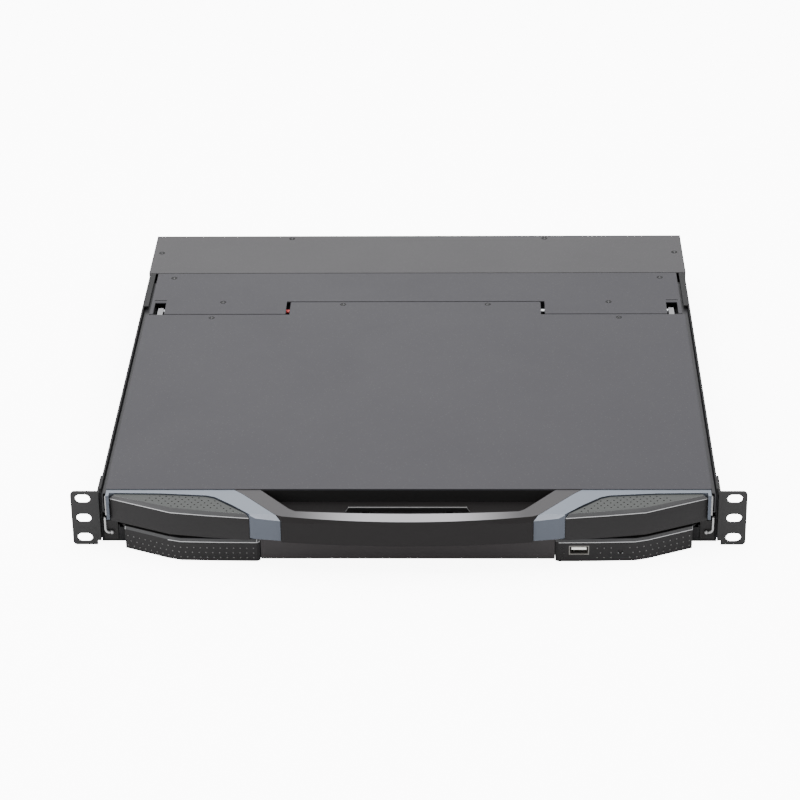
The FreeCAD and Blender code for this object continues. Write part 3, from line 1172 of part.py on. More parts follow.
def release_catch():
    """Catch plate with slanted ends, two stems and the slider below the pocket floor."""
    low, high = POCKET_FLOOR + SEAT, POCKET_FLOOR + CATCH_HEIGHT
    front = CATCH_Y - CATCH_THICKNESS
    foot = CATCH_HALF + CATCH_SLANT
    face = [(-foot, low), (foot, low), (CATCH_HALF, high), (-CATCH_HALF, high)]
    plate = section_y(face, front, CATCH_Y)
    half, reach = CATCH_STEM / 2, SLIDER_DEPTH / 2
    stems = [block(x - half, x + half, front, CATCH_Y, SLIDER_LOW, low)
             for x in (-CATCH_SPREAD, CATCH_SPREAD)]
    slider = mid_block(CATCH_HALF - SLIDER_SHORT / 2, CATCH_Y - reach, CATCH_Y + reach,
                       SLIDER_LOW, SLIDER_HIGH)
    return fuse([plate] + stems + [slider])


# ================================================================ keyboard drawer
def tray_pan():
    floor = mid_block(TRAY_HALF, TRAY_FRONT, TRAY_REAR, TRAY_FLOOR, TRAY_TOP)
    side = block(TRAY_HALF - TRAY_SHEET, TRAY_HALF, TRAY_FRONT, TRAY_REAR, TRAY_TOP, DECK_TOP)
    ends = [mid_block(TRAY_HALF, y, y + TRAY_SHEET, TRAY_TOP, DECK_LOW)
            for y in (TRAY_FRONT, TRAY_REAR - TRAY_SHEET)]
    return cut(fuse([floor, side, mirrored(side)] + ends), [usb_space(), reset_space()])


def tray_link():
    """Right-hand spacer between the tray wall and the inner slide member."""
    half = INNER_HEIGHT / 2
    return block(TRAY_HALF, SLIDE_IN, TRAY_FRONT + LINK_SETBACK, TRAY_REAR - LINK_SETBACK,
                 LOWER_SLIDE_Z - half, LOWER_SLIDE_Z + half)


def key_cells(rows, x_start):
    """Row, column and plan box of every keycap of one block."""
    cells = []
    for row, widths in enumerate(rows):
        rear = KEYS_REAR - row * KEY_PITCH - KEY_GAP / 2
        x = x_start
        for column, width in enumerate(widths):
            box = (x + KEY_GAP / 2, x + width * KEY_PITCH - KEY_GAP / 2, rear - KEY_PITCH + KEY_GAP, rear)
            cells.append((row, column, box))
            x += width * KEY_PITCH
    return cells


LETTER_CELLS = key_cells(LETTER_ROWS, KEYS_LEFT)
NUMBER_CELLS = key_cells(NUMBER_ROWS, KEYS_LEFT + LETTER_PITCHES * KEY_PITCH + PAD_GAP)


def keycap(x0, x1, y0, y1):
    """Tapered keycap, from its foot in the window to its top."""
    t = KEY_TAPER
    low = [V(x0, y0, KEY_BASE), V(x1, y0, KEY_BASE), V(x1, y1, KEY_BASE), V(x0, y1, KEY_BASE)]
    high = [V(x0 + t, y0 + t, KEY_TOP), V(x1 - t, y0 + t, KEY_TOP), V(x1 - t, y1 - t, KEY_TOP),
            V(x0 + t, y1 - t, KEY_TOP)]
    return stacked([low, high])


def one_key(place):
    return [keycap(*box) for row, column, box in LETTER_CELLS if (row, column) == place][0]


def keycaps():
    """Every keycap but the two that have nodes of their own."""
    own = (ENTER_INDEX, SPACE_INDEX)
    caps = [keycap(*box) for row, column, box in LETTER_CELLS if (row, column) not in own]
    return group(caps + [keycap(*box) for _, _, box in NUMBER_CELLS])


def keyboard_base():
    """Switch plate under the keys, far enough below them for their travel."""
    front, rear = KEYS_FRONT - PLATE_MARGIN, KEYS_REAR + PLATE_MARGIN
    half = -KEYS_LEFT + PLATE_MARGIN
    low = PLATE_TOP - PLATE_SHEET
    plate = mid_block(half, front, rear, low, PLATE_TOP)
    reach = half - 2 * POST_SETBACK
    feet = [post(POST_RADIUS, x, y, TRAY_TOP, low)
            for x in (-reach, 0, reach) for y in (front + POST_SETBACK, rear - POST_SETBACK)]
    return fuse([plate] + feet)


def bar_cell(side):
    """Plan box of one touchpad button."""
    inner, outer = BUTTON_BAR_SPLIT / 2, TOUCHPAD_WIDTH / 2
    x0, x1 = (inner, outer) if side > 0 else (-outer, -inner)
    rear = PAD_Y - BUTTON_BAR_GAP
    return x0, x1, rear - BUTTON_BAR_DEPTH, rear


def window(box, clearance):
    """Cutting tool for a window in the deck, larger than a plan box all round."""
    x0, x1, y0, y1 = box
    return block(x0 - clearance, x1 + clearance, y0 - clearance, y1 + clearance,
                 DECK_LOW - OVERCUT, DECK_TOP + OVERCUT)


def outer_box(cells):
    """Plan box round a block of keys."""
    boxes = [box for _, _, box in cells]
    return (min(box[0] for box in boxes), max(box[1] for box in boxes),
            min(box[2] for box in boxes), max(box[3] for box in boxes))


def keyboard_deck():
    """Moulded top of the drawer: a window per block of keys, touchpad recess, button windows and posts."""
    rear = TRAY_REAR - FIT
    deck = mid_block(DECK_HALF, DECK_FRONT, rear, DECK_LOW, DECK_TOP)
    deck = deck.makeFillet(DECK_CORNER, upright_edges(deck, lambda point: True))
    tools = [window(outer_box(cells), KEY_CLEAR) for cells in (LETTER_CELLS, NUMBER_CELLS)]
    tools += [window(bar_cell(side), FIT) for side in (-1, 1)]
    half = TOUCHPAD_WIDTH / 2 + FIT
    tools.append(mid_block(half, PAD_Y - FIT, PAD_Y + TOUCHPAD_DEPTH + FIT,
                           DECK_TOP - TOUCHPAD_RECESS, DECK_TOP + OVERCUT))
    x = DECK_HALF - POST_INSET
    posts = [post(POST_RADIUS, side * x, y, TRAY_TOP, DECK_LOW)
             for side in (-1, 1) for y in (DECK_FRONT + POST_SETBACK, rear - POST_SETBACK)]
    return fuse([deck.cut(tools)] + posts)


def touchpad():
    low = DECK_TOP - TOUCHPAD_RECESS
    pad = mid_block(TOUCHPAD_WIDTH / 2, PAD_Y, PAD_Y + TOUCHPAD_DEPTH, low, low + TOUCHPAD_SHEET)
    return pad.makeFillet(TOUCHPAD_CORNER, upright_edges(pad, lambda point: True))


def pad_button(side):
    """Touchpad button with a skirt that reaches below the deck."""
    top = DECK_TOP + BUTTON_BAR_RISE
    body = block(*bar_cell(side), DECK_LOW - BUTTON_BAR_EDGE, top)
    upper = [edge for edge in body.Edges if edge.BoundBox.ZMin > top - RUN]
    return body.makeChamfer(BUTTON_BAR_EDGE, upper)


# ================================================================ lower front
def usb_space():
    front = LOWER_NOSE - OVERCUT
    rear = LOWER_NOSE + USB_DEPTH + 4 * USB_BASE
    return block(USB_X - USB_WIDTH / 2, USB_X + USB_WIDTH / 2, front, rear,
                 USB_Z - USB_HEIGHT / 2, USB_Z + USB_HEIGHT / 2)


def reset_space():
    length = TRAY_FRONT + 2 * RESET_TAIL - LOWER_NOSE
    return rod(RESET_RADIUS + FIT, V(RESET_X, LOWER_NOSE - OVERCUT, RESET_Z), length, ALONG_Y)


def lower_grip():
    """Left-hand grip of the drawer: faceted front with a bevelled crest."""
    front = [(x * LID_HALF, LID_FRONT + y * LOWER_REACH) for x, y in LOWER_GRIP]
    back = [(front[-1][0], TRAY_FRONT), (front[0][0], TRAY_FRONT)]
    crest = [(x, y + CREST_RUN) for x, y in front] + back
    outline = front + back
    shoulder = LOWER_GRIP_TOP - CREST_HEIGHT
    return fuse([prism(outline, LOWER_BOTTOM, shoulder), loft(outline, shoulder, crest, LOWER_GRIP_TOP)])


def right_lower_grip():
    return cut(mirrored(lower_grip()), [usb_space(), reset_space()])


def lower_strip():
    """Middle of the drawer's front, with a bevelled lower edge and a top that falls to the rear."""
    nose = LOWER_NOSE + STRIP_BACK
    points = [(nose, LOWER_BOTTOM + STRIP_TOE), (nose + STRIP_TOE, LOWER_BOTTOM),
              (TRAY_FRONT, LOWER_BOTTOM), (TRAY_FRONT, LOWER_GRIP_TOP),
              (nose + STRIP_SHELF, LOWER_STRIP_TOP), (nose + CREST_HEIGHT, LOWER_STRIP_TOP),
              (nose, LOWER_STRIP_TOP - CREST_HEIGHT)]
    return section_x(points, -LOWER_HALF, LOWER_HALF)


def usb_port():
    """Front socket: folded shell with its contact tongue."""
    face = LOWER_NOSE + SEAT
    rear = face + USB_DEPTH
    shell = around(USB_X, face + USB_DEPTH / 2, USB_Z, USB_WIDTH, USB_DEPTH, USB_HEIGHT)
    half, rise = USB_WIDTH / 2 - USB_SHELL, USB_HEIGHT / 2 - USB_SHELL
    mouth = block(USB_X - half, USB_X + half, face - OVERCUT, rear - USB_BASE, USB_Z - rise, USB_Z + rise)
    tongue = block(USB_X - half + USB_SHELL, USB_X + half - USB_SHELL, face + OVERCUT, rear - USB_BASE,
                   USB_Z + SEAT, USB_Z + SEAT + USB_TONGUE)
    return fuse([cut(shell, [mouth]), tongue])


def reset_plunger():
    front = LOWER_NOSE + RESET_SETBACK
    return rod(RESET_RADIUS, V(RESET_X, front, RESET_Z), TRAY_FRONT + RESET_TAIL - front, ALONG_Y)


# ================================================================ all nodes
def case_nodes():
    return {
        "chassis_pan": chassis_pan(),
        "rear_cover": rear_cover(),
        "rear_panel": rear_panel(),
        "rack_ear_right": rack_ear(),
        "rack_ear_left": mirrored(rack_ear()),
        "case_screws": group(ear_screws() + screws(SIDE_SCREWS + REAR_SCREWS)),
        "power_inlet": power_inlet(),
        "rocker_frame": rocker_frame(),
        "power_rocker": power_rocker(),
        "console_ports": console_ports(),
        "main_board": main_board(),
        "board_posts": board_posts(),
        "power_supply": power_supply(),
    }


def slide_nodes():
    nodes = {}
    for name, centre in (("lid", UPPER_SLIDE_Z), ("drawer", LOWER_SLIDE_Z)):
        nodes[name + "_slide_outer"] = both(slide_outer(centre))
        nodes[name + "_slide_middle"] = both(slide_middle(centre))
        nodes[name + "_outer_cages"] = outer_cages(centre)
        nodes[name + "_inner_cages"] = inner_cages(centre)
    nodes["lid_slide_inner"] = both(slide_inner(UPPER_SLIDE_Z))
    nodes["drawer_slide_inner"] = both(fuse([slide_inner(LOWER_SLIDE_Z), tray_link()]))
    return nodes


def lid_nodes():
    nodes = {
        "carriage_rails": both(carriage_rail()),
        "carriage_beam": carriage_beam(),
        "hinge_cover": hinge_cover(),
        "hinge_cover_screws": group(screws(STRIP_SCREWS)),
        "hinge_barrels": both(hinge_barrel()),
        "hinge_shafts": hinge_shafts(),
        "display_cable": display_cable(),
        "lid_cover": lid_cover(),
        "lid_screws": group(screws(LID_SCREWS)),
        "lid_housing": lid_housing(),
        "lid_arms": both(lid_arm()),
        "lcd_panel": lcd_panel(),
        "lcd_driver": lcd_driver(),
        "osd_board": osd_board(),
        "trim_frames": both(trim_frame()),
        "upper_grips": both(upper_grip()),
        "handle_bar": handle_bar(),
        "handle_cover": handle_cover(),
        "release_catch": release_catch(),
    }
    for number, x in enumerate(button_places(), 1):
        nodes["osd_button_%d" % number] = osd_button(x)
    return nodes


def drawer_nodes():
    return {
        "tray_pan": tray_pan(),
        "keyboard_deck": keyboard_deck(),
        "keyboard_base": keyboard_base(),
        "keycaps": keycaps(),
        "enter_key": one_key(ENTER_INDEX),
        "space_bar": one_key(SPACE_INDEX),
        "touchpad": touchpad(),
        "pad_button_left": pad_button(-1),
        "pad_button_right": pad_button(1),
        "lower_grip_left": lower_grip(),
        "lower_grip_right": right_lower_grip(),
        "lower_strip": lower_strip(),
        "usb_port": usb_port(),
        "reset_plunger": reset_plunger(),
    }


os.makedirs("parts", exist_ok=True)
for nodes in (case_nodes(), slide_nodes(), lid_nodes(), drawer_nodes()):
    for node_name, node_shape in nodes.items():
        node_shape.exportStep("parts/%s.step" % node_name)
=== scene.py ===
import json
import logging
import math
from dataclasses import dataclass
from enum import Enum
from typing import Callable, Iterable, Sequence

import bmesh
import bpy
from mathutils import Matrix, Vector


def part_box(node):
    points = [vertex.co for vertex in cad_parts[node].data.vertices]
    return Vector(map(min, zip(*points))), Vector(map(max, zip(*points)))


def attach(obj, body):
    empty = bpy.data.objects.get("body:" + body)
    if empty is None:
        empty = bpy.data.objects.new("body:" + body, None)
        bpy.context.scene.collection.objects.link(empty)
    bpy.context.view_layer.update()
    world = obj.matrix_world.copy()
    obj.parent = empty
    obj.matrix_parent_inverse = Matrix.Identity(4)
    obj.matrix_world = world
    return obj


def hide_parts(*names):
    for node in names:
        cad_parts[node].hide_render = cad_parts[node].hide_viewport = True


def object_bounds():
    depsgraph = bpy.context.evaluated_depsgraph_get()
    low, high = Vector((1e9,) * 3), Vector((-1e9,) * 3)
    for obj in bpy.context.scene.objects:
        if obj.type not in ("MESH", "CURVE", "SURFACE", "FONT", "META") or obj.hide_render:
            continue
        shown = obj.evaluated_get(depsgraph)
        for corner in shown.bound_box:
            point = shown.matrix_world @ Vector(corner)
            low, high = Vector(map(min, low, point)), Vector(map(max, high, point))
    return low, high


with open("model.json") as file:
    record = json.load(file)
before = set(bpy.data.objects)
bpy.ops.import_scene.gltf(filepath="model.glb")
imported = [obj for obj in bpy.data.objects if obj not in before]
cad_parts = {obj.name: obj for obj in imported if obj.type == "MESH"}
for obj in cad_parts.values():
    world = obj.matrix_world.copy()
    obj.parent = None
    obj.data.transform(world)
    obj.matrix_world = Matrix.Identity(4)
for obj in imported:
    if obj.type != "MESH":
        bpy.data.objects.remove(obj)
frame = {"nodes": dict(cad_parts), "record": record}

log = logging.getLogger("console_drawer")

Point = tuple[float, float]
Triple = tuple[float, float, float]
Place = tuple[Vector, Vector]
Box = tuple[Vector, Vector]

CAD_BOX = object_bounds()
RECORD = frame["record"]
SLOT_OF: dict[str, str] = {row["node"]: row["material_slot"] for row in RECORD["subparts"]}
BODY_OF: dict[str, str] = {
    node: body for body, nodes in RECORD["behaviour"]["bodies"].items() for node in nodes
}

# Sizes are in millimetres and MM turns them into the scene's metres.
MM = 0.001
SEAM = 0.002 * MM
SAME_LEVEL = 0.01 * MM
ORIGIN: Triple = (0.0, 0.0, 0.0)
EVEN: Triple = (1.0, 1.0, 1.0)
UP, DOWN, BACK = Vector((0, 0, 1)), Vector((0, 0, -1)), Vector((0, 1, 0))
SIDES = (-1, 1)
SOCKET_TYPES = {tuple: "NodeSocketVector", float: "NodeSocketFloat"}


# ------------------------------------------------------------------ node groups
def add_node(
    tree: bpy.types.NodeTree, kind: str, values: dict | None = None, **settings: object
) -> bpy.types.Node:
    """Adds a node to a tree, with its settings, values and incoming links.

    Args:
        tree: the tree to add to.
        kind: the node's type.
        values: input name or number to a value, or to a socket to link from.
        **settings: properties of the node.

    Returns:
        The new node.
    """
    node = tree.nodes.new(kind)
    for key, setting in settings.items():
        setattr(node, key, setting)
    for key, value in (values or {}).items():
        if isinstance(value, bpy.types.NodeSocket):
            tree.links.new(value, node.inputs[key])
        else:
            node.inputs[key].default_value = value
    return node


class NodeGroup:
    """A node group under construction, for shaders or for geometry."""

    def __init__(
        self, name: str, kind: str, inputs: dict[str, object], outputs: dict[str, str]
    ) -> None:
        """Opens the group with its named sockets.

        Args:
            name: the group's name.
            kind: ShaderNodeTree or GeometryNodeTree.
            inputs: socket name to its default, or to a socket type.
            outputs: socket name to its socket type.
        """
        self.tree = bpy.data.node_groups.new(name, kind)
        new_socket = self.tree.interface.new_socket
        for label, value in inputs.items():
            socket_type = SOCKET_TYPES.get(type(value), value)
            socket = new_socket(label, in_out="INPUT", socket_type=socket_type)
            if socket_type != value:
                socket.default_value = value
        for label, socket_type in outputs.items():
            new_socket(label, in_out="OUTPUT", socket_type=socket_type)
        self.source = self.tree.nodes.new("NodeGroupInput")
        self.sink = self.tree.nodes.new("NodeGroupOutput")

    def given(self, label: str) -> bpy.types.NodeSocket:
        """The socket that carries one of the group's inputs."""
        return self.source.outputs[label]

    def add(self, kind: str, values: dict | None = None, **settings: object) -> bpy.types.Node:
        """Adds a node to the group, as add_node does."""
        return add_node(self.tree, kind, values, **settings)

    def maths(self, operation: str, *terms: object) -> bpy.types.NodeSocket:
        """The result of a maths node on one, two or three terms."""
        values = dict(enumerate(terms))
        return self.add("ShaderNodeMath", values, operation=operation).outputs[0]

    def output(self, label: str, socket: bpy.types.NodeSocket) -> None:
        """Links a socket to one of the group's outputs."""
        self.tree.links.new(socket, self.sink.inputs[label])


class ShaderGroup(NodeGroup):
    """A shader group that puts out numbers which vary over the surface."""

    def __init__(self, name: str, inputs: dict[str, object], *outputs: str) -> None:
        """Opens the group.

        Args:
            name: the group's name.
            inputs: socket name to its default.
            *outputs: the names of the numbers.
        """
        super().__init__(name, "ShaderNodeTree", inputs, dict.fromkeys(outputs, "NodeSocketFloat"))


def grain_group() -> bpy.types.NodeTree:
    """Fine surface grain: a value that varies over the surface and a height for a bump.

    Returns:
        The group's tree.
    """
    inputs = {"Vector": ORIGIN, "Stretch": EVEN, "Scale": 900.0}
    group = ShaderGroup("surface_grain", inputs, "Value", "Height")
    coarse_scale = group.given("Scale")
    fine_scale = group.maths("MULTIPLY", coarse_scale, 2.7)
    place = group.add("ShaderNodeVectorMath", {
        0: group.given("Vector"), 1: group.given("Stretch")}, operation="MULTIPLY").outputs[0]
    coarse = group.add("ShaderNodeTexNoise", {
        "Vector": place, "Scale": coarse_scale, "Detail": 3.0, "Roughness": 0.6}).outputs["Fac"]
    fine = group.add("ShaderNodeTexVoronoi", {"Vector": place, "Scale": fine_scale})
    group.output("Value", coarse)
    group.output("Height", group.maths("MULTIPLY", fine.outputs["Distance"], coarse))
    return group.tree


def handling_group() -> bpy.types.NodeTree:
    """Slow cloudy change of gloss, as left by hands, wiping and an uneven coat.

    Returns:
        The group's tree.
    """
    inputs = {"Vector": ORIGIN, "Scale": 14.0, "Gloss": 0.4, "Spread": 0.08}
    group = ShaderGroup("uneven_gloss", inputs, "Roughness", "Cloud")
    cloud = group.add("ShaderNodeTexNoise", {
        "Vector": group.given("Vector"), "Scale": group.given("Scale"), "Detail": 4.0,
        "Roughness": 0.55, "Distortion": 0.4}).outputs["Fac"]
    centred = group.maths("SUBTRACT", cloud, 0.5)
    swing = group.maths("MULTIPLY_ADD", centred, group.given("Spread"), group.given("Gloss"))
    group.output("Roughness", swing)
    group.output("Cloud", cloud)
    return group.tree


def dust_group() -> bpy.types.NodeTree:
    """Sparse light specks that lie only on faces that look up.

    Returns:
        The group's tree.
    """
    inputs = {"Vector": ORIGIN, "Normal": (0.0, 0.0, 1.0), "Scale": 420.0, "Amount": 0.15}
    group = ShaderGroup("settled_dust", inputs, "Mask")
    specks = group.add("ShaderNodeTexVoronoi", {
        "Vector": group.given("Vector"), "Scale": group.given("Scale")})
    near = group.add("ShaderNodeMapRange", {
        "Value": specks.outputs["Distance"], "From Min": 0.16, "From Max": 0.05, "To Min": 0.0,
        "To Max": 1.0})
    upward = group.add("ShaderNodeSeparateXYZ", {0: group.given("Normal")})
    facing = group.add("ShaderNodeMapRange", {
        "Value": upward.outputs["Z"], "From Min": 0.6, "From Max": 0.95})
    both = group.maths("MULTIPLY", near.outputs[0], facing.outputs[0])
    group.output("Mask", group.maths("MULTIPLY", both, group.given("Amount")))
    return group.tree


def trace_group() -> bpy.types.NodeTree:
    """Copper traces under solder mask: masks of thin right-angled lines and of pads.

    Returns:
        The group's tree.
    """
    group = ShaderGroup("board_traces", {"Vector": ORIGIN, "Scale": 260.0}, "Trace", "Pad")
    place, scale = group.given("Vector"), group.given("Scale")
    black, white = (0, 0, 0, 1), (1, 1, 1, 1)
    cells = group.add("ShaderNodeTexBrick", {
        "Vector": place, "Scale": scale, "Mortar Size": 0.07, "Color1": black, "Color2": black,
        "Mortar": white})
    gate = group.add("ShaderNodeTexNoise", {"Vector": place, "Scale": 60.0, "Detail": 1.0})
    routed = group.maths("GREATER_THAN", gate.outputs["Fac"], 0.48)
    pads = group.add("ShaderNodeTexVoronoi", {
        "Vector": place, "Scale": scale, "Randomness": 0.35}, distance="CHEBYCHEV")
    group.output("Trace", group.maths("MULTIPLY", cells.outputs["Fac"], routed))
    group.output("Pad", group.maths("LESS_THAN", pads.outputs["Distance"], 0.12))
    return group.tree


def top_sheen_group() -> bpy.types.NodeTree:
    """A painted sheen: a mask on faces that look up and lie high enough, fading from the middle to
    the sides.

    Returns:
        The group's tree.
    """
    inputs = {"Vector": ORIGIN, "Normal": (0.0, 0.0, 1.0), "Core": 0.03, "Reach": 0.09,
              "Level": 0.0, "Ends": 0.3}
    group = ShaderGroup("upward_crown", inputs, "Mask")
    place = group.add("ShaderNodeSeparateXYZ", {0: group.given("Vector")})
    facing = group.add("ShaderNodeSeparateXYZ", {0: group.given("Normal")})
    fade = group.add("ShaderNodeMapRange", {
        "Value": group.maths("ABSOLUTE", place.outputs["X"]), "From Min": group.given("Core"),
        "From Max": group.given("Reach"), "To Min": 1.0, "To Max": group.given("Ends")},
        interpolation_type="SMOOTHSTEP")
    upward = group.add("ShaderNodeMapRange", {
        "Value": facing.outputs["Z"], "From Min": 0.90, "From Max": 0.985})
    high = group.maths("GREATER_THAN", place.outputs["Z"], group.given("Level"))
    both = group.maths("MULTIPLY", upward.outputs[0], high)
    group.output("Mask", group.maths("MULTIPLY", both, fade.outputs[0]))
    return group.tree


class Effect(Enum):
    """The shader groups that the finishes share."""

    GRAIN = grain_group()
    HANDLING = handling_group()
    DUST = dust_group()
    TRACES = trace_group()
    # Painted sheen on faces that look up.
    CROWN = top_sheen_group()

    def put_in(self, tree: bpy.types.NodeTree, **values: object) -> bpy.types.Node:
        """Places the group in a material.

        Args:
            tree: the material's tree.
            **values: input name to a value, or to a socket to link from.

        Returns:
            The group's node.
        """
        return add_node(tree, "ShaderNodeGroup", values, node_tree=self.value)


# ------------------------------------------------------------------ finishes
class Kind(Enum):
    """How a surface is made, with how far its grain is drawn out along each axis."""

    POWDER_COAT = ("powder coat", EVEN)
    MOULDED = ("moulded plastic", EVEN)
    METALLIC_PAINT = ("metallic paint", EVEN)
    ROLLED = ("rolled sheet", (0.06, 1.0, 1.0))
    DRAWN = ("drawn or turned metal", (1.0, 0.05, 1.0))
    BOARD = ("circuit board", EVEN)
    GLASS = ("smooth glass", EVEN)

    @property
    def stretch(self) -> Triple:
        """How far the grain is drawn out along each axis."""
        return self.value[1]


@dataclass(frozen=True)
class PaintedTopSheen:
    """Painted sheen: a paler colour laid on the upward faces of a piece, strongest at its middle,
    for the light that falls on them.

    It is full within the core, falls to its share at the ends by the reach, and starts above
    the level, all in metres.
    """

    colour: Triple
    core: float
    reach: float
    level: float
    ends: float


COAT_ROUGHNESS = 0.12
CLOUD_SHARE = 0.35
BUMP_DEPTH = 0.0002
TRACE_GREEN: Triple = (0.05, 0.30, 0.12)
PAD_TIN: Triple = (0.55, 0.50, 0.38)
DUST_GREY: Triple = (0.35, 0.35, 0.34)


def facing(tree: bpy.types.NodeTree) -> bpy.types.NodeSocket:
    """The socket that says which way the surface looks."""
    return add_node(tree, "ShaderNodeNewGeometry").outputs["Normal"]


def tinted(
    tree: bpy.types.NodeTree, share: bpy.types.NodeSocket, below: object, colour: Triple
) -> bpy.types.NodeSocket:
    """Lays one colour over another.

    Args:
        tree: the material's tree.
        share: how far the upper colour covers the lower one.
        below: the lower colour, as four numbers or a socket.
        colour: the upper colour.

    Returns:
        The resulting colour's socket.
    """
    values = {"Factor": share, "A": below, "B": (*colour, 1.0)}
    return add_node(tree, "ShaderNodeMix", values, data_type="RGBA").outputs["Result"]


@dataclass(frozen=True)
class Finish:
    """One material of the object, made from shared effects."""

    name: str
    kind: Kind
    colour: Triple
    roughness: float
    metallic: float = 0.0
    vary: float = 0.12
    gloss_spread: float = 0.10
    grain_scale: float = 900.0
    grain_height: float = 0.12
    coat: float = 0.0
    dust: float = 0.0
    specular: float = 0.5
    glow: float = 0.0
    # crown holds the painted sheen laid on the upward faces, where light falls on them.
    crown: PaintedTopSheen | None = None

    @property
    def title(self) -> str:
        """The material's name, which no imported material has."""
        return self.name + "_finish"

    def material(self) -> bpy.types.Material:
        """The Blender material of this finish, made once."""
        return bpy.data.materials.get(self.title) or self._build()

    def _build(self) -> bpy.types.Material:
        """Builds the node tree.

        Returns:
            The new material.
        """
        made = bpy.data.materials.new(self.title)
        made.use_nodes = True
        made.diffuse_color = (*self.colour, 1.0)
        tree = made.node_tree
        shader = tree.nodes["Principled BSDF"]
        for socket, value in (("Metallic", self.metallic), ("Specular IOR Level", self.specular),
                              ("Coat Weight", self.coat), ("Coat Roughness", COAT_ROUGHNESS)):
            shader.inputs[socket].default_value = value
        where = add_node(tree, "ShaderNodeTexCoord").outputs["Object"]
        grain = Effect.GRAIN.put_in(tree, Vector=where, Stretch=self.kind.stretch,
                                    Scale=self.grain_scale)
        gloss = Effect.HANDLING.put_in(tree, Vector=where, Gloss=self.roughness,
                                       Spread=self.gloss_spread)
        mottle = add_node(tree, "ShaderNodeMix", {
            "Factor": CLOUD_SHARE, "A": grain.outputs["Value"], "B": gloss.outputs["Cloud"]},
            data_type="FLOAT")
        bump = add_node(tree, "ShaderNodeBump", {
            "Height": grain.outputs["Height"], "Strength": self.grain_height,
            "Distance": BUMP_DEPTH})
        links = {"Base Color": self._colour(tree, where, mottle.outputs["Result"]),
                 "Roughness": gloss.outputs["Roughness"], "Normal": bump.outputs["Normal"]}
        if self.glow:
            seen = add_node(tree, "ShaderNodeLightPath").outputs["Is Camera Ray"]
            links["Emission Strength"] = add_node(
                tree, "ShaderNodeMath", {0: seen, 1: self.glow}, operation="MULTIPLY").outputs[0]
        for socket, value in links.items():
            tree.links.new(value, shader.inputs[socket])
        return made

    def _colour(
        self, tree: bpy.types.NodeTree, where: bpy.types.NodeSocket, mottle: bpy.types.NodeSocket
    ) -> bpy.types.NodeSocket:
        """The varied base colour.

        Args:
            tree: the material's tree.
            where: the object coordinates.
            mottle: a value from 0 to 1 that varies over the surface.

        Returns:
            The colour socket.
        """
        dark = tuple(c * (1 - self.vary) for c in self.colour)
        light = tuple(min(1.0, c * (1 + self.vary)) for c in self.colour)
        colour = tinted(tree, mottle, (*dark, 1.0), light)
        if self.kind is Kind.BOARD:
            routed = Effect.TRACES.put_in(tree, Vector=where)
            colour = tinted(tree, routed.outputs["Trace"], colour, TRACE_GREEN)
            colour = tinted(tree, routed.outputs["Pad"], colour, PAD_TIN)
        # Painted sheen: the upward faces are made paler where the light falls on them.
        if self.crown:
            upper = Effect.CROWN.put_in(
                tree, Vector=where, Normal=facing(tree), Core=self.crown.core,
                Reach=self.crown.reach, Level=self.crown.level, Ends=self.crown.ends)
            colour = tinted(tree, upper.outputs["Mask"], colour, self.crown.colour)
        if self.dust:
            dust = Effect.DUST.put_in(tree, Vector=where, Normal=facing(tree), Amount=self.dust)
            colour = tinted(tree, dust.outputs["Mask"], colour, DUST_GREY)
        return colour


CHASSIS_BLACK = Finish(
    "chassis_black", Kind.POWDER_COAT, (0.008, 0.008, 0.0085), 0.50, grain_height=0.35,
    specular=0.12)
COVER_GREY = Finish(
    "cover_grey", Kind.POWDER_COAT, (0.031, 0.030, 0.032), 0.46, vary=0.05, grain_height=0.16,
    dust=0.10, specular=0.15)
LID_GREY = Finish(
    "lid_grey", Kind.POWDER_COAT, (0.0205, 0.0198, 0.0235), 0.44, vary=0.05, grain_height=0.14,
    dust=0.10, specular=0.15)
EAR_BLACK = Finish(
    "ear_black", Kind.POWDER_COAT, (0.012, 0.0118, 0.012), 0.50, grain_height=0.40, specular=0.15)
SCREW_STEEL = Finish(
    "screw_steel", Kind.DRAWN, (0.012, 0.012, 0.0125), 0.50, vary=0.15, specular=0.05)
ZINC = Finish(
    "zinc_plate", Kind.ROLLED, (0.32, 0.33, 0.34), 0.34, metallic=1.0, vary=0.08, grain_scale=500.0)
DARK_ZINC = Finish(
    "dark_zinc", Kind.ROLLED, (0.030, 0.030, 0.032), 0.42, metallic=0.6, vary=0.08,
    grain_scale=500.0, specular=0.2)
BALL_STEEL = Finish(
    "ball_steel", Kind.GLASS, (0.72, 0.72, 0.73), 0.14, metallic=1.0, vary=0.03, grain_height=0.02)
SHELL_BLACK = Finish(
    "shell_black", Kind.MOULDED, (0.008, 0.0076, 0.0076), 0.42, grain_scale=700.0,
    grain_height=0.22, dust=0.06, specular=0.15)
# The handle's crown is a painted sheen: a pale band along the middle of its top, where light falls.
HANDLE_GREY = Finish(
    "handle_grey", Kind.MOULDED, (0.0080, 0.0073, 0.0074), 0.36, vary=0.08, grain_scale=800.0,
    grain_height=0.10, specular=0.07,
    crown=PaintedTopSheen((0.21, 0.205, 0.215), core=0.025, reach=0.086, level=0.0195, ends=0.16))
STRIP_BLACK = Finish(
    "strip_black", Kind.MOULDED, (0.0175, 0.0155, 0.0160), 0.40, vary=0.08, grain_scale=800.0,
    grain_height=0.12, specular=0.15)
# The grips' crown is a painted sheen: their upward faces above 10 mm are made paler, where light
# falls.
GRIP_BLACK = Finish(
    "grip_black", Kind.MOULDED, (0.0098, 0.0094, 0.0096), 0.46, grain_scale=650.0,
    grain_height=0.30, specular=0.1,
    crown=PaintedTopSheen((0.040, 0.042, 0.041), core=1.0, reach=2.0, level=0.010, ends=1.0))
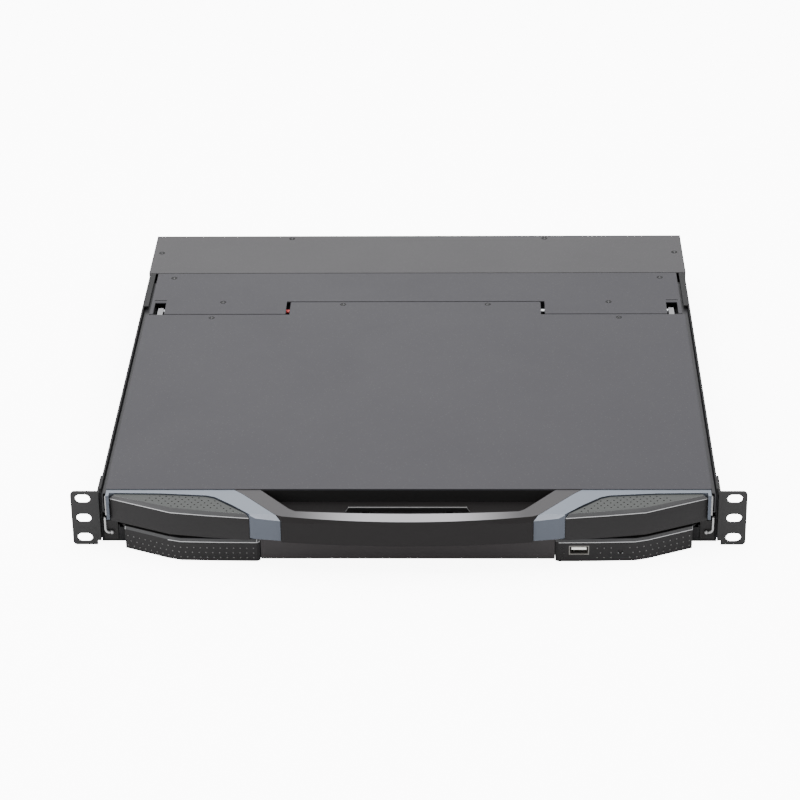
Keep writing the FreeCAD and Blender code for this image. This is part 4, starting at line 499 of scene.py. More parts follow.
# Painted shade: the dimple floors are darker than the grip plastic, for the shade in the pits.
DIMPLE_SHADE = Finish("dimple_black", Kind.MOULDED, (0.004, 0.004, 0.004), 0.60, specular=0.1)
# Painted highlight: a light grey laid on the grips' rounded edges.
GRIP_EDGE_HIGHLIGHT = Finish("grip_edge", Kind.MOULDED, (0.26, 0.26, 0.265), 0.30, grain_height=0.05)
# Painted sheen: paler copies of the grip and trim colours laid on their upward slopes.
GRIP_SLOPE_SHEEN = Finish(
    "grip_crest", Kind.MOULDED, (0.032, 0.032, 0.033), 0.40, grain_height=0.1, specular=0.15)
TRIM_SLOPE_SHEEN = Finish(
    "trim_crest", Kind.METALLIC_PAINT, (0.19, 0.205, 0.235), 0.32, metallic=0.4, grain_height=0.03,
    specular=0.2)
# Painted highlights: lighter colours laid on the rounded edges of the catch and of the trims.
LIP_HIGHLIGHT = Finish("lip_edge", Kind.MOULDED, (0.075, 0.074, 0.076), 0.35, grain_height=0.05)
TRIM_EDGE_HIGHLIGHT = Finish(
    "trim_edge", Kind.METALLIC_PAINT, (0.36, 0.38, 0.42), 0.30, metallic=0.4, grain_height=0.03)
LEVER_STEEL = Finish(
    "lever_steel", Kind.ROLLED, (0.25, 0.25, 0.25), 0.40, metallic=0.6, vary=0.06,
    grain_scale=400.0, specular=0.3)
SOCKET_STEEL = Finish(
    "socket_steel", Kind.ROLLED, (0.10, 0.096, 0.09), 0.30, metallic=0.7, vary=0.06,
    grain_scale=400.0)
SLIDE_STEEL = Finish(
    "slide_steel", Kind.ROLLED, (0.010, 0.010, 0.0105), 0.55, vary=0.08, grain_scale=500.0,
    specular=0.2)
ARM_STEEL = Finish(
    "arm_steel", Kind.ROLLED, (0.20, 0.20, 0.21), 0.40, metallic=0.7, vary=0.08, grain_scale=500.0,
    specular=0.3)
RECESS_STEEL = Finish("recess_steel", Kind.DRAWN, (0.42, 0.42, 0.43), 0.35, metallic=0.8, vary=0.10)
# Painted highlight: the grip's dots are a lighter grey than the grip, for their glints.
DOT_GLINT = Finish("dot_grey", Kind.MOULDED, (0.034, 0.033, 0.032), 0.30, grain_height=0.05)
# The trims' crown is a painted sheen: their upward faces above 10 mm are made paler, where light
# falls.
TRIM_SILVER = Finish(
    "trim_silver", Kind.METALLIC_PAINT, (0.043, 0.049, 0.061), 0.34, metallic=0.4, vary=0.10,
    grain_scale=2200.0, grain_height=0.05, coat=0.1, specular=0.15,
    crown=PaintedTopSheen((0.115, 0.130, 0.155), core=1.0, reach=2.0, level=0.010, ends=1.0))
KEY_BLACK = Finish(
    "key_black", Kind.MOULDED, (0.014, 0.014, 0.015), 0.52, grain_scale=900.0, grain_height=0.30,
    specular=0.3)
SCREEN = Finish(
    "screen_black", Kind.GLASS, (0.006, 0.006, 0.008), 0.16, vary=0.05, gloss_spread=0.03,
    grain_scale=2500.0, grain_height=0.02, coat=0.4)
BOARD_GREEN = Finish("board_green", Kind.BOARD, (0.010, 0.10, 0.045), 0.38, grain_height=0.05)
BRASS = Finish("post_brass", Kind.DRAWN, (0.66, 0.50, 0.22), 0.28, metallic=1.0)
WIRE_RED = Finish("wire_red", Kind.MOULDED, (0.42, 0.02, 0.02), 0.40, grain_height=0.05)
NICKEL = Finish(
    "nickel_shell", Kind.ROLLED, (0.62, 0.62, 0.61), 0.24, metallic=1.0, vary=0.05,
    grain_scale=400.0)
CONTACT_GOLD = Finish("contact_gold", Kind.DRAWN, (0.80, 0.58, 0.22), 0.22, metallic=1.0, vary=0.04)
INSULATOR_WHITE = Finish(
    "insulator_white", Kind.MOULDED, (0.62, 0.62, 0.58), 0.45, grain_height=0.08)
INSULATOR_BLUE = Finish("insulator_blue", Kind.MOULDED, (0.02, 0.05, 0.20), 0.42, grain_height=0.10)
MARK_WHITE = Finish("mark_white", Kind.MOULDED, (0.70, 0.70, 0.69), 0.45, grain_height=0.05)
FLOOR_WHITE = Finish(
    "studio_floor", Kind.MOULDED, (0.96, 0.96, 0.965), 0.60, vary=0.01, gloss_spread=0.02,
    grain_height=0.0, specular=0.1, glow=8.0)

FINISH_OF_SLOT: dict[str, Finish] = {
    "black_steel": CHASSIS_BLACK, "cover_steel": COVER_GREY, "lid_steel": LID_GREY,
    "ear_steel": EAR_BLACK, "screw_steel": SCREW_STEEL, "zinc_steel": ZINC,
    "bearing_steel": BALL_STEEL, "black_plastic": SHELL_BLACK, "silver_plastic": TRIM_SILVER,
    "grip_plastic": GRIP_BLACK, "key_plastic": KEY_BLACK, "screen_glass": SCREEN,
    "circuit_board": BOARD_GREEN, "brass_post": BRASS, "cable_jacket": WIRE_RED,
    "port_metal": NICKEL, "dark_zinc": DARK_ZINC,
}


# ------------------------------------------------------------------ mesh tools
# Angles in degrees: joins of flat faces, edges that get rounded and edges that stay crisp.
FLAT_ANGLE, ROUNDED_ANGLE, CRISP_ANGLE = 0.6, 28.0, 32.0


def new_object(name: str, mesh: bpy.types.Mesh) -> bpy.types.Object:
    """Puts a mesh in the scene as an object at the origin.

    Args:
        name: the object's name.
        mesh: its mesh.

    Returns:
        The new object.
    """
    made = bpy.data.objects.new(name, mesh)
    bpy.context.scene.collection.objects.link(made)
    return made


def discard(*things: bpy.types.Object) -> None:
    """Removes helper objects that aren't pieces."""
    for thing in things:
        bpy.data.objects.remove(thing, do_unlink=True)


def mesh_from(name: str, build: Callable[[bmesh.types.BMesh], None]) -> bpy.types.Mesh:
    """Runs a bmesh builder, closes its seams and turns its faces outwards.

    Args:
        name: the mesh's name.
        build: what fills the bmesh.

    Returns:
        The new mesh.
    """
    work = bmesh.new()
    build(work)
    bmesh.ops.remove_doubles(work, verts=work.verts, dist=SEAM / 2)
    bmesh.ops.recalc_face_normals(work, faces=work.faces)
    mesh = bpy.data.meshes.new(name)
    work.to_mesh(mesh)
    work.free()
    return mesh


def soften(mesh: bpy.types.Mesh, degrees: float = CRISP_ANGLE) -> None:
    """Smooth shading, with edges sharper than the angle kept crisp.

    Args:
        mesh: the mesh to shade.
        degrees: the angle from which an edge stays crisp.
    """
    limit = math.radians(degrees)
    work = bmesh.new()
    work.from_mesh(mesh)
    for face in work.faces:
        face.smooth = True
    for edge in work.edges:
        edge.smooth = len(edge.link_faces) == 2 and edge.calc_face_angle(0.0) < limit
    work.to_mesh(mesh)
    work.free()


def merged_copy(node: str, name: str) -> bpy.types.Object:
    """A clean copy of a CAD node: seams closed and flat faces joined.

    Args:
        node: the CAD node.
        name: the copy's name.

    Returns:
        The copy, at the origin.
    """
    work = bmesh.new()
    work.from_mesh(frame["nodes"][node].data)
    bmesh.ops.remove_doubles(work, verts=work.verts, dist=SEAM)
    bmesh.ops.dissolve_limit(
        work, angle_limit=math.radians(FLAT_ANGLE), verts=work.verts, edges=work.edges)
    mesh = bpy.data.meshes.new(name)
    work.to_mesh(mesh)
    work.free()
    return new_object(name, mesh)


def plain_copy(piece: bpy.types.Object, name: str) -> bpy.types.Object:
    """A plain mesh of a piece with its modifiers worked in; the piece is removed.

    Args:
        piece: the piece with modifiers.
        name: the plain object's name.

    Returns:
        The plain object, at the origin.
    """
    graph = bpy.context.evaluated_depsgraph_get()
    mesh = bpy.data.meshes.new_from_object(piece.evaluated_get(graph), depsgraph=graph)
    plain = new_object(name, mesh)
    discard(piece)
    return plain


def joined(name: str, pieces: Sequence[bpy.types.Object]) -> bpy.types.Object:
    """Several plain objects as one.

    Args:
        name: the result's name.
        pieces: the objects, which are removed.

    Returns:
        The joined object.
    """
    work = bmesh.new()
    for piece in pieces:
        work.from_mesh(piece.data)
    mesh = bpy.data.meshes.new(name)
    work.to_mesh(mesh)
    work.free()
    for material in pieces[0].data.materials:
        mesh.materials.append(material)
    discard(*pieces)
    return new_object(name, mesh)


def stretched(piece: bpy.types.Object, low: float = 0.0, high: float = 0.0) -> None:
    """Carries the piece's lowest and highest faces further out.

    Args:
        piece: a merged piece.
        low: how far down the lowest face goes, in millimetres.
        high: how far up the highest face goes, in millimetres.
    """
    heights = [vert.co.z for vert in piece.data.vertices]
    bottom, top = min(heights), max(heights)
    for vert in piece.data.vertices:
        if vert.co.z < bottom + SAME_LEVEL:
            vert.co.z -= low * MM
        elif vert.co.z > top - SAME_LEVEL:
            vert.co.z += high * MM


def islands(node: str) -> list[Box]:
    """The boxes of a node's separate solids.

    Args:
        node: the CAD node.

    Returns:
        Lowest and highest corner of each solid.
    """
    work = bmesh.new()
    work.from_mesh(frame["nodes"][node].data)
    bmesh.ops.remove_doubles(work, verts=work.verts, dist=SEAM)
    seen: set[int] = set()
    boxes: list[Box] = []
    for start in work.verts:
        stack, found = [start], []
        while stack:
            vert = stack.pop()
            if vert.index not in seen:
                seen.add(vert.index)
                found.append(vert.co.copy())
                stack += [edge.other_vert(vert) for edge in vert.link_edges]
        if found:
            low, high = (Vector([pick(p[i] for p in found) for i in range(3)])
                         for pick in (min, max))
            boxes.append((low, high))
    work.free()
    return boxes


# ------------------------------------------------------------------ solids
def rectangle(x0: float, y0: float, x1: float, y1: float) -> list[Point]:
    """The corners of a rectangle, in order."""
    return [(x0, y0), (x1, y0), (x1, y1), (x0, y1)]


def bridge(work: bmesh.types.BMesh, *outlines: Sequence[Triple]) -> None:
    """Adds a closed solid between two outlines with as many corners, in millimetres.

    Args:
        work: the bmesh to fill.
        *outlines: the corners of the first and the second outline.
    """
    first, second = ([work.verts.new([c * MM for c in corner]) for corner in outline]
                     for outline in outlines)
    work.faces.new(reversed(first))
    work.faces.new(second)
    for i in range(len(first)):
        j = (i + 1) % len(first)
        work.faces.new((first[i], first[j], second[j], second[i]))


def prism(work: bmesh.types.BMesh, outline: Sequence[Point], low: float, high: float) -> None:
    """Adds a solid from a plan outline between two heights, in millimetres."""
    bridge(work, *([(x, y, z) for x, y in outline] for z in (low, high)))


def slab(work: bmesh.types.BMesh, outline: Sequence[Point], near: float, far: float) -> None:
    """Adds a solid from a front view's outline between two depths, in millimetres."""
    bridge(work, *([(x, y, z) for x, z in outline] for y in (near, far)))


def box_mesh(work: bmesh.types.BMesh, low: Vector, high: Vector) -> None:
    """Adds a closed box between two corners in metres."""
    outline = rectangle(low.x / MM, low.y / MM, high.x / MM, high.y / MM)
    prism(work, outline, low.z / MM, high.z / MM)


def turned(work: bmesh.types.BMesh, profile: Sequence[Point], steps: int) -> None:
    """Adds a solid of revolution about Z.

    Args:
        work: the bmesh to fill.
        profile: (radius, height) in millimetres, its ends on the axis.
        steps: faces round the axis.
    """
    angles = [2 * math.pi * i / steps for i in range(steps)]
    rings = []
    for radius, height in profile:
        around = angles if radius else [0.0]
        rings.append([work.verts.new((radius * MM * math.cos(a), radius * MM * math.sin(a),
                                      height * MM)) for a in around])
    for lower, upper in zip(rings, rings[1:]):
        for i in range(steps):
            j = (i + 1) % steps
            corners = [lower[i % len(lower)], lower[j % len(lower)],
                       upper[j % len(upper)], upper[i % len(upper)]]
            unique = list(dict.fromkeys(corners))
            if len(unique) > 2:
                work.faces.new(unique)


def turned_mesh(name: str, profile: Sequence[Point], steps: int) -> bpy.types.Mesh:
    """A mesh of one solid of revolution."""
    return mesh_from(name, lambda work: turned(work, profile, steps))


def ball_mesh(name: str, radius: float, steps: int, bands: int = 8) -> bpy.types.Mesh:
    """A ball about the origin.

    Args:
        name: the mesh's name.
        radius: its radius in millimetres.
        steps: faces round its axis.
        bands: faces from pole to pole.

    Returns:
        The new mesh.
    """
    angles = [math.pi * i / bands for i in range(1, bands)]
    sides = [(radius * math.sin(a), -radius * math.cos(a)) for a in angles]
    return turned_mesh(name, [(0, -radius), *sides, (0, radius)], steps)


# ------------------------------------------------------------------ edges with painted highlights and slopes with painted sheen
# A face's lift is the upward share of its normal: 0 on a wall and 1 on a flat top.
SLOPE_LIFT = (0.25, 0.93)
LEAST_CREST_TURN = 0.2
LEAST_LIGHT_LIFT = 0.08
CREST_WIDTH = 0.25
# Material slots: the body's own finish, a painted highlight on rounded edges and a painted sheen on
# slopes.
BODY_COAT, EDGE_HIGHLIGHT_SLOT, SLOPE_SHEEN_SLOT = range(3)


def round_edges(
    piece: bpy.types.Object, radius: float, segments: int = 3, edge: Finish | None = None
) -> None:
    """Rounds the piece's sharp edges, with a painted highlight on the rounding where one is given.

    Args:
        piece: a merged piece, with its material where the rounding has a painted highlight of its
            own.
        radius: the rounding in millimetres.
        segments: faces across the rounding.
        edge: the painted highlight of the rounding, where it differs.
    """
    bevel = piece.modifiers.new("rounded_edges", "BEVEL")
    bevel.width = radius * MM
    bevel.segments = segments
    bevel.limit_method = "ANGLE"
    bevel.angle_limit = math.radians(ROUNDED_ANGLE)
    bevel.use_clamp_overlap = True
    bevel.miter_outer = "MITER_ARC"
    # The rounding gets a lighter material of its own: a painted highlight.
    if edge:
        piece.data.materials.append(edge.material())
        bevel.material = EDGE_HIGHLIGHT_SLOT
    level = piece.modifiers.new("flat_faces_first", "WEIGHTED_NORMAL")
    level.weight = 100
    level.keep_sharp = True


def highlight_crest(piece: bpy.types.Object) -> None:
    """Chamfers the edges between slopes and walls, in the painted highlight of the rounded edges.

    Args:
        piece: a merged piece with one material each for its body, its painted edge highlight and
            its painted slope sheen.
    """
    lowest, highest = SLOPE_LIFT
    work = bmesh.new()
    work.from_mesh(piece.data)
    crest = []
    for edge in work.edges:
        lifts = sorted(face.normal.z for face in edge.link_faces)
        if len(lifts) != 2 or lifts[1] - lifts[0] <= LEAST_CREST_TURN:
            continue
        if abs(lifts[0]) < lowest < lifts[1] < highest:
            crest.append(edge)
    bmesh.ops.bevel(work, geom=crest, offset=CREST_WIDTH * MM, offset_type="OFFSET", segments=1,
                    profile=0.5, affect="EDGES", clamp_overlap=False, material=EDGE_HIGHLIGHT_SLOT)
    work.to_mesh(piece.data)
    work.free()


def dull_other_edges(piece: bpy.types.Object, highest: float) -> None:
    """Leaves the painted highlight of rounded edges only on the crest.

    Args:
        piece: a plain piece with one material each for its body, its painted edge highlight and its
            painted slope sheen.
        highest: the largest lift of a face that keeps the painted highlight.
    """
    for face in piece.data.polygons:
        if face.material_index != EDGE_HIGHLIGHT_SLOT:
            continue
        if face.normal.z > highest:
            face.material_index = SLOPE_SHEEN_SLOT
        elif face.normal.z < LEAST_LIGHT_LIFT:
            face.material_index = BODY_COAT


def with_slopes(
    piece: bpy.types.Object, name: str, slope: Finish, light_below: float | None
) -> bpy.types.Object:
    """Paints a sheen on a piece's upward slopes as a material of their own and works its modifiers
    in.

    Args:
        piece: a merged piece with rounded edges in a painted highlight of their own.
        name: the result's name.
        slope: the painted sheen of the faces that slope upwards.
        light_below: the largest lift of an edge that keeps its painted highlight, or None where all
        edges keep their painted highlight and the crest has no chamfer.

    Returns:
        The plain result.
    """
    lowest, highest = SLOPE_LIFT
    piece.data.materials.append(slope.material())
    # Faces that slope upwards get the painted sheen.
    for face in piece.data.polygons:
        if lowest < face.normal.z < highest:
            face.material_index = SLOPE_SHEEN_SLOT
    if light_below is None:
        return plain_copy(piece, name)
    highlight_crest(piece)
    plain = plain_copy(piece, name)
    dull_other_edges(plain, light_below)
    return plain


def fit_piece(piece: bpy.types.Object, finish: Finish, carrier: str, *nodes: str) -> None:
    """Gives a finished piece its material, its body and the nodes it stands for.

    Args:
        piece: the piece, in place.
        finish: its finish.
        carrier: the CAD node whose body it shares.
        *nodes: the CAD nodes it stands for.
    """
    if not piece.data.materials:
        piece.data.materials.append(finish.material())
    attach(piece, BODY_OF[carrier])
    if nodes:
        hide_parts(*nodes)
    log.info("%s rides on %s, %d faces", piece.name, BODY_OF[carrier], len(piece.data.polygons))


@dataclass(frozen=True)
class Skin:
    """How one CAD node is dressed: its own solid, cleaned, with rounded edges."""

    node: str
    edge: float = 0.25
    finish: Finish | None = None
    segments: int = 3
    # The optional edge and slope materials paint a highlight on the rounded edges and a sheen on
    # the upward slopes.
    edge_highlight: Finish | None = None
    slope_sheen: Finish | None = None
    light_below: float | None = None
    rise: float = 0.0

    def dress(self) -> None:
        """Builds the piece that stands for the node."""
        finish = self.finish or FINISH_OF_SLOT[SLOT_OF[self.node]]
        piece = merged_copy(self.node, self.node + "_piece")
        stretched(piece, high=self.rise)
        soften(piece.data)
        piece.data.materials.append(finish.material())
        if self.edge > 0:
            round_edges(piece, self.edge, self.segments, self.edge_highlight)
        if self.slope_sheen:
            piece = with_slopes(piece, self.node + "_finished", self.slope_sheen,
                                self.light_below)
        fit_piece(piece, finish, self.node, self.node)


def dress_all(edges: dict[str, float]) -> None:
    """Dresses several nodes, each with the radius of its edges in millimetres."""
    for node, edge in edges.items():
        Skin(node, edge).dress()


def add_part(
    name: str, build: Callable[[bmesh.types.BMesh], None], finish: Finish, carrier: str,
    edge: float, crisp: bool = False
) -> None:
    """Adds a small piece that stands for no node.

    Args:
        name: the piece's name.
        build: what fills its bmesh.
        finish: its finish.
        carrier: the CAD node whose body it shares.
        edge: the rounding of its edges in millimetres.
        crisp: whether its faces are shaded flat.
    """
    piece = new_object(name, mesh_from(name, build))
    if not crisp:
        soften(piece.data)
    round_edges(piece, edge, 2)
    fit_piece(piece, finish, carrier)


# ------------------------------------------------------------------ geometry nodes
class GeometryTree(NodeGroup):
    """A Geometry Nodes tree that turns a host mesh into a finished plain mesh."""

    def __init__(self, name: str, inputs: dict[str, object]) -> None:
        """Opens a tree with a geometry input and output and the named inputs.

        Args:
            name: the tree's name.
            inputs: socket name to its default, or to a socket type.
        """
        geometry = {"Geometry": "NodeSocketGeometry"}
        super().__init__(name, "GeometryNodeTree", {**geometry, **inputs}, geometry)

    def held(self, label: str) -> bpy.types.NodeSocket:
        """The geometry of an object that comes in by a named input."""
        return self.add("GeometryNodeObjectInfo", {"Object": self.given(label)}).outputs["Geometry"]

    def coated(self, solid: bpy.types.NodeSocket, label: str) -> bpy.types.NodeSocket:
        """The solid in the material that comes in by a named input."""
        values = {"Geometry": solid, "Material": self.given(label)}
        return self.add("GeometryNodeSetMaterial", values).outputs["Geometry"]

    def cut(self, solid: bpy.types.NodeSocket, tool: bpy.types.NodeSocket) -> bpy.types.NodeSocket:
        """What is left of the solid where the tool has cut it.

        Args:
            solid: the geometry to cut.
            tool: the closed geometry that is taken away.

        Returns:
            The remaining geometry.
        """
        values = {"Mesh 1": solid, "Mesh 2": tool}
        return self.add("GeometryNodeMeshBoolean", values, operation="DIFFERENCE",
                        solver="EXACT").outputs["Mesh"]

    def placed(
        self, points: bpy.types.NodeSocket, item: bpy.types.NodeSocket
    ) -> bpy.types.NodeSocket:
        """Puts an item on every point, with its Z axis along the point's aim.

        Args:
            points: the points.
            item: the geometry to place.

        Returns:
            The realized geometry.
        """
        aim = self.add("GeometryNodeInputNamedAttribute", {"Name": "aim"}, data_type="FLOAT_VECTOR")
        turn = self.add("FunctionNodeAlignRotationToVector", {
            "Vector": aim.outputs["Attribute"]}, axis="Z")
        copies = self.add("GeometryNodeInstanceOnPoints", {
            "Points": points, "Instance": item, "Rotation": turn.outputs["Rotation"]})
        return self.add("GeometryNodeRealizeInstances", {
            "Geometry": copies.outputs["Instances"]}).outputs["Geometry"]

    def run(self, host: bpy.types.Object, name: str, values: dict[str, object]) -> bpy.types.Object:
        """Runs the tree on a host and makes its result a plain object.

        Args:
            host: the object whose mesh goes in.
            name: the result's name.
            values: input name to its value.

        Returns:
            The result, with no modifier.
        """
        modifier = host.modifiers.new(self.tree.name, "NODES")
        modifier.node_group = self.tree
        for item in self.tree.interface.items_tree:
            if item.in_out == "INPUT" and item.name in values:
                modifier[item.identifier] = values[item.name]
        graph = bpy.context.evaluated_depsgraph_get()
        mesh = bpy.data.meshes.new_from_object(host.evaluated_get(graph), depsgraph=graph)
        host.modifiers.remove(modifier)
        mesh.name = name
        return new_object(name, mesh)


OBJECT_IN, MATERIAL_IN = "NodeSocketObject", "NodeSocketMaterial"


def repeat_tree() -> GeometryTree:
    """Places one item on every point of the host, along each point's aim.

    Returns:
        The tree.
    """
    tree = GeometryTree("repeat_on_places", {"Item": OBJECT_IN, "Material": MATERIAL_IN})
    solid = tree.placed(tree.given("Geometry"), tree.held("Item"))
    tree.output("Geometry", tree.coated(solid, "Material"))
    return tree


def screw_tree() -> GeometryTree:
    """Countersunk heads with a cross recess on every point of the host.

    Returns:
        The tree.
    """
    tree = GeometryTree("cross_head_screws", {
        "Item": OBJECT_IN, "Recess": OBJECT_IN, "Material": MATERIAL_IN,
        "Recess Material": MATERIAL_IN})
    head = tree.coated(tree.held("Item"), "Material")
    driven = tree.cut(head, tree.coated(tree.held("Recess"), "Recess Material"))
    tree.output("Geometry", tree.placed(tree.given("Geometry"), driven))
    return tree


def dimple_tree() -> GeometryTree:
    """Sinks a cutter into the host at every point of another object, with the sunk floors in a
    darker material, a painted shade.

    Returns:
        The tree.
    """
    tree = GeometryTree("sunk_dimples", {
        "Places": OBJECT_IN, "Cutter": OBJECT_IN, "Floor Material": MATERIAL_IN})
    tools = tree.placed(tree.held("Places"), tree.held("Cutter"))
    sunk = tree.cut(tree.given("Geometry"), tree.coated(tools, "Floor Material"))
    tree.output("Geometry", sunk)
    return tree


def path_tree(rows: int = 3) -> GeometryTree:
    """Staggered rows of an item on the wall that stands over the host's path.

    Args:
        rows: how many rows lie over each other.

    Returns:
        The tree.
    """
    tree = GeometryTree("rows_along_wall", {
        "Item": OBJECT_IN, "Material": MATERIAL_IN, "Pitch": 0.0047, "Row Spacing": 0.0039,
        "Low": -0.0183, "Keep Off": 0.0024})
    item, margin = tree.held("Item"), tree.given("Keep Off")
    curve = tree.add("GeometryNodeMeshToCurve", {"Mesh": tree.given("Geometry")}).outputs["Curve"]
    length = tree.add("GeometryNodeCurveLength", {"Curve": curve}).outputs["Length"]
    end = tree.maths("SUBTRACT", length, margin)
    half_pitch = tree.maths("MULTIPLY", tree.given("Pitch"), 0.5)
    tangent = tree.add("GeometryNodeInputTangent").outputs[0]
    outward = tree.add("ShaderNodeVectorMath", {
        0: tangent, 1: (0.0, 0.0, 1.0)}, operation="CROSS_PRODUCT").outputs[0]
    whole = tree.add("GeometryNodeJoinGeometry")
    for row in range(rows):
        start = tree.maths("MULTIPLY_ADD", half_pitch, float(row % 2), margin)
        trim = tree.add("GeometryNodeTrimCurve", {"Curve": curve, 4: start, 5: end}, mode="LENGTH")
        points = tree.add("GeometryNodeResampleCurve", {
            "Curve": trim.outputs["Curve"], "Length": tree.given("Pitch")}, mode="LENGTH")
        aimed = tree.add("GeometryNodeStoreNamedAttribute", {
            "Geometry": points.outputs["Curve"], "Name": "aim", "Value": outward},
            data_type="FLOAT_VECTOR", domain="POINT")
        height = tree.maths("MULTIPLY_ADD", tree.given("Row Spacing"), float(row),
                            tree.given("Low"))
        lift = tree.add("ShaderNodeCombineXYZ", {"Z": height})
        raised = tree.add("GeometryNodeSetPosition", {
            "Geometry": aimed.outputs["Geometry"], "Offset": lift.outputs[0]})
        solid = tree.placed(raised.outputs["Geometry"], item)
        tree.tree.links.new(solid, whole.inputs["Geometry"])
    tree.output("Geometry", tree.coated(whole.outputs["Geometry"], "Material"))
    return tree


class Pattern(Enum):
    """The Geometry Nodes trees that the sub-assemblies use."""

    REPEAT = repeat_tree()
    SCREWS = screw_tree()
    DIMPLES = dimple_tree()
    WALL_ROWS = path_tree()


def place_points(name: str, places: Iterable[Place]) -> bpy.types.Object:
    """A mesh of loose points, each with the direction that its item faces.

    Args:
        name: the object's name.
        places: position and direction, in metres.

    Returns:
        The helper object.
    """
    listed = list(places)
    mesh = bpy.data.meshes.new(name)
    mesh.from_pydata([tuple(spot) for spot, _ in listed], [], [])
    aim = mesh.attributes.new("aim", "FLOAT_VECTOR", "POINT")
    aim.data.foreach_set("vector", [c for _, direction in listed for c in direction])
    return new_object(name, mesh)


def repeated(
    name: str, item: bpy.types.Mesh, places: Iterable[Place], finish: Finish, carrier: str
) -> None:
    """Adds one mesh, repeated at many places, as a single plain piece.

    Args:
        name: the piece's name.
        item: what is repeated, facing +Z.
        places: position and direction, in metres.
        finish: the finish.
        carrier: the CAD node whose body the piece shares.
    """
    host, single = place_points(name + "_places", places), new_object(name + "_item", item)
    values = {"Item": single, "Material": finish.material()}
    piece = Pattern.REPEAT.value.run(host, name, values)
    discard(host, single)
    soften(piece.data)
    fit_piece(piece, finish, carrier)


@dataclass(frozen=True)
class CrossScrew:
    """Countersunk machine screw with a cross recess."""

    head_radius: float = 2.6
    shank_radius: float = 1.3
    cone: float = 1.2
    length: float = 4.0
    blade: float = 0.62
    wing: float = 1.45
    recess: float = 1.0
    crown: float = 0.12
    steps: int = 28

    def head(self) -> bpy.types.Mesh:
        """The screw without its recess, its flush face at Z 0.

        Returns:
            The mesh.
        """
        rim = self.head_radius - self.crown
        return turned_mesh("screw_head", [
            (0, -self.length), (self.shank_radius, -self.length), (self.shank_radius, -self.cone),
            (rim, -self.crown), (rim, 0), (0, 0)], self.steps)

    def cross(self) -> bpy.types.Mesh:
        """The cross-shaped space that the driver fills.

        Returns:
            The mesh.
        """
        h, w = self.blade / 2, self.wing
        outline = [(h, -w), (h, -h), (w, -h), (w, h), (h, h), (h, w),
                   (-h, w), (-h, h), (-w, h), (-w, -h), (-h, -h), (-h, -w)]
        return mesh_from("screw_recess", lambda work: prism(work, outline, -self.recess, 1.0))

    def set_in(self, node: str) -> None:
        """Puts a screw in the place of every solid of a screw node.

        Args:
            node: the CAD node that holds the screws.
        """
        places: list[Place] = []
        for low, high in islands(node):
            size, middle = high - low, (low + high) / 2
            axis = min(range(3), key=lambda i: size[i])
            side = 1.0 if axis == 2 or middle[axis] > 0 else -1.0
            direction = Vector([side if i == axis else 0.0 for i in range(3)])
            middle[axis] = high[axis] if side > 0 else low[axis]
            places.append((middle, direction))
        host = place_points(node + "_places", places)
        head, cross = new_object("head", self.head()), new_object("cross", self.cross())
        piece = Pattern.SCREWS.value.run(host, node + "_piece", {
            "Item": head, "Recess": cross, "Material": SCREW_STEEL.material(),
            "Recess Material": RECESS_STEEL.material()})
        discard(host, head, cross)
        soften(piece.data)
        fit_piece(piece, SCREW_STEEL, node, node)


# ------------------------------------------------------------------ sub-assemblies
# The fields of every sub-assembly are sizes in millimetres, counts or shares.
@dataclass
class CaseShell:
    """Fixed sheet-metal case with its ears, covers and screws."""

    fold: float = 0.35
    cover_edge: float = 0.30
    ear_edge: float = 0.40

    def build(self) -> None:
        """Dresses the case."""
        dress_all({
            "chassis_pan": self.fold, "rear_cover": self.cover_edge,
            "rear_panel": self.cover_edge, "rack_ear_left": self.ear_edge,
            "rack_ear_right": self.ear_edge})
        CrossScrew().set_in("case_screws")


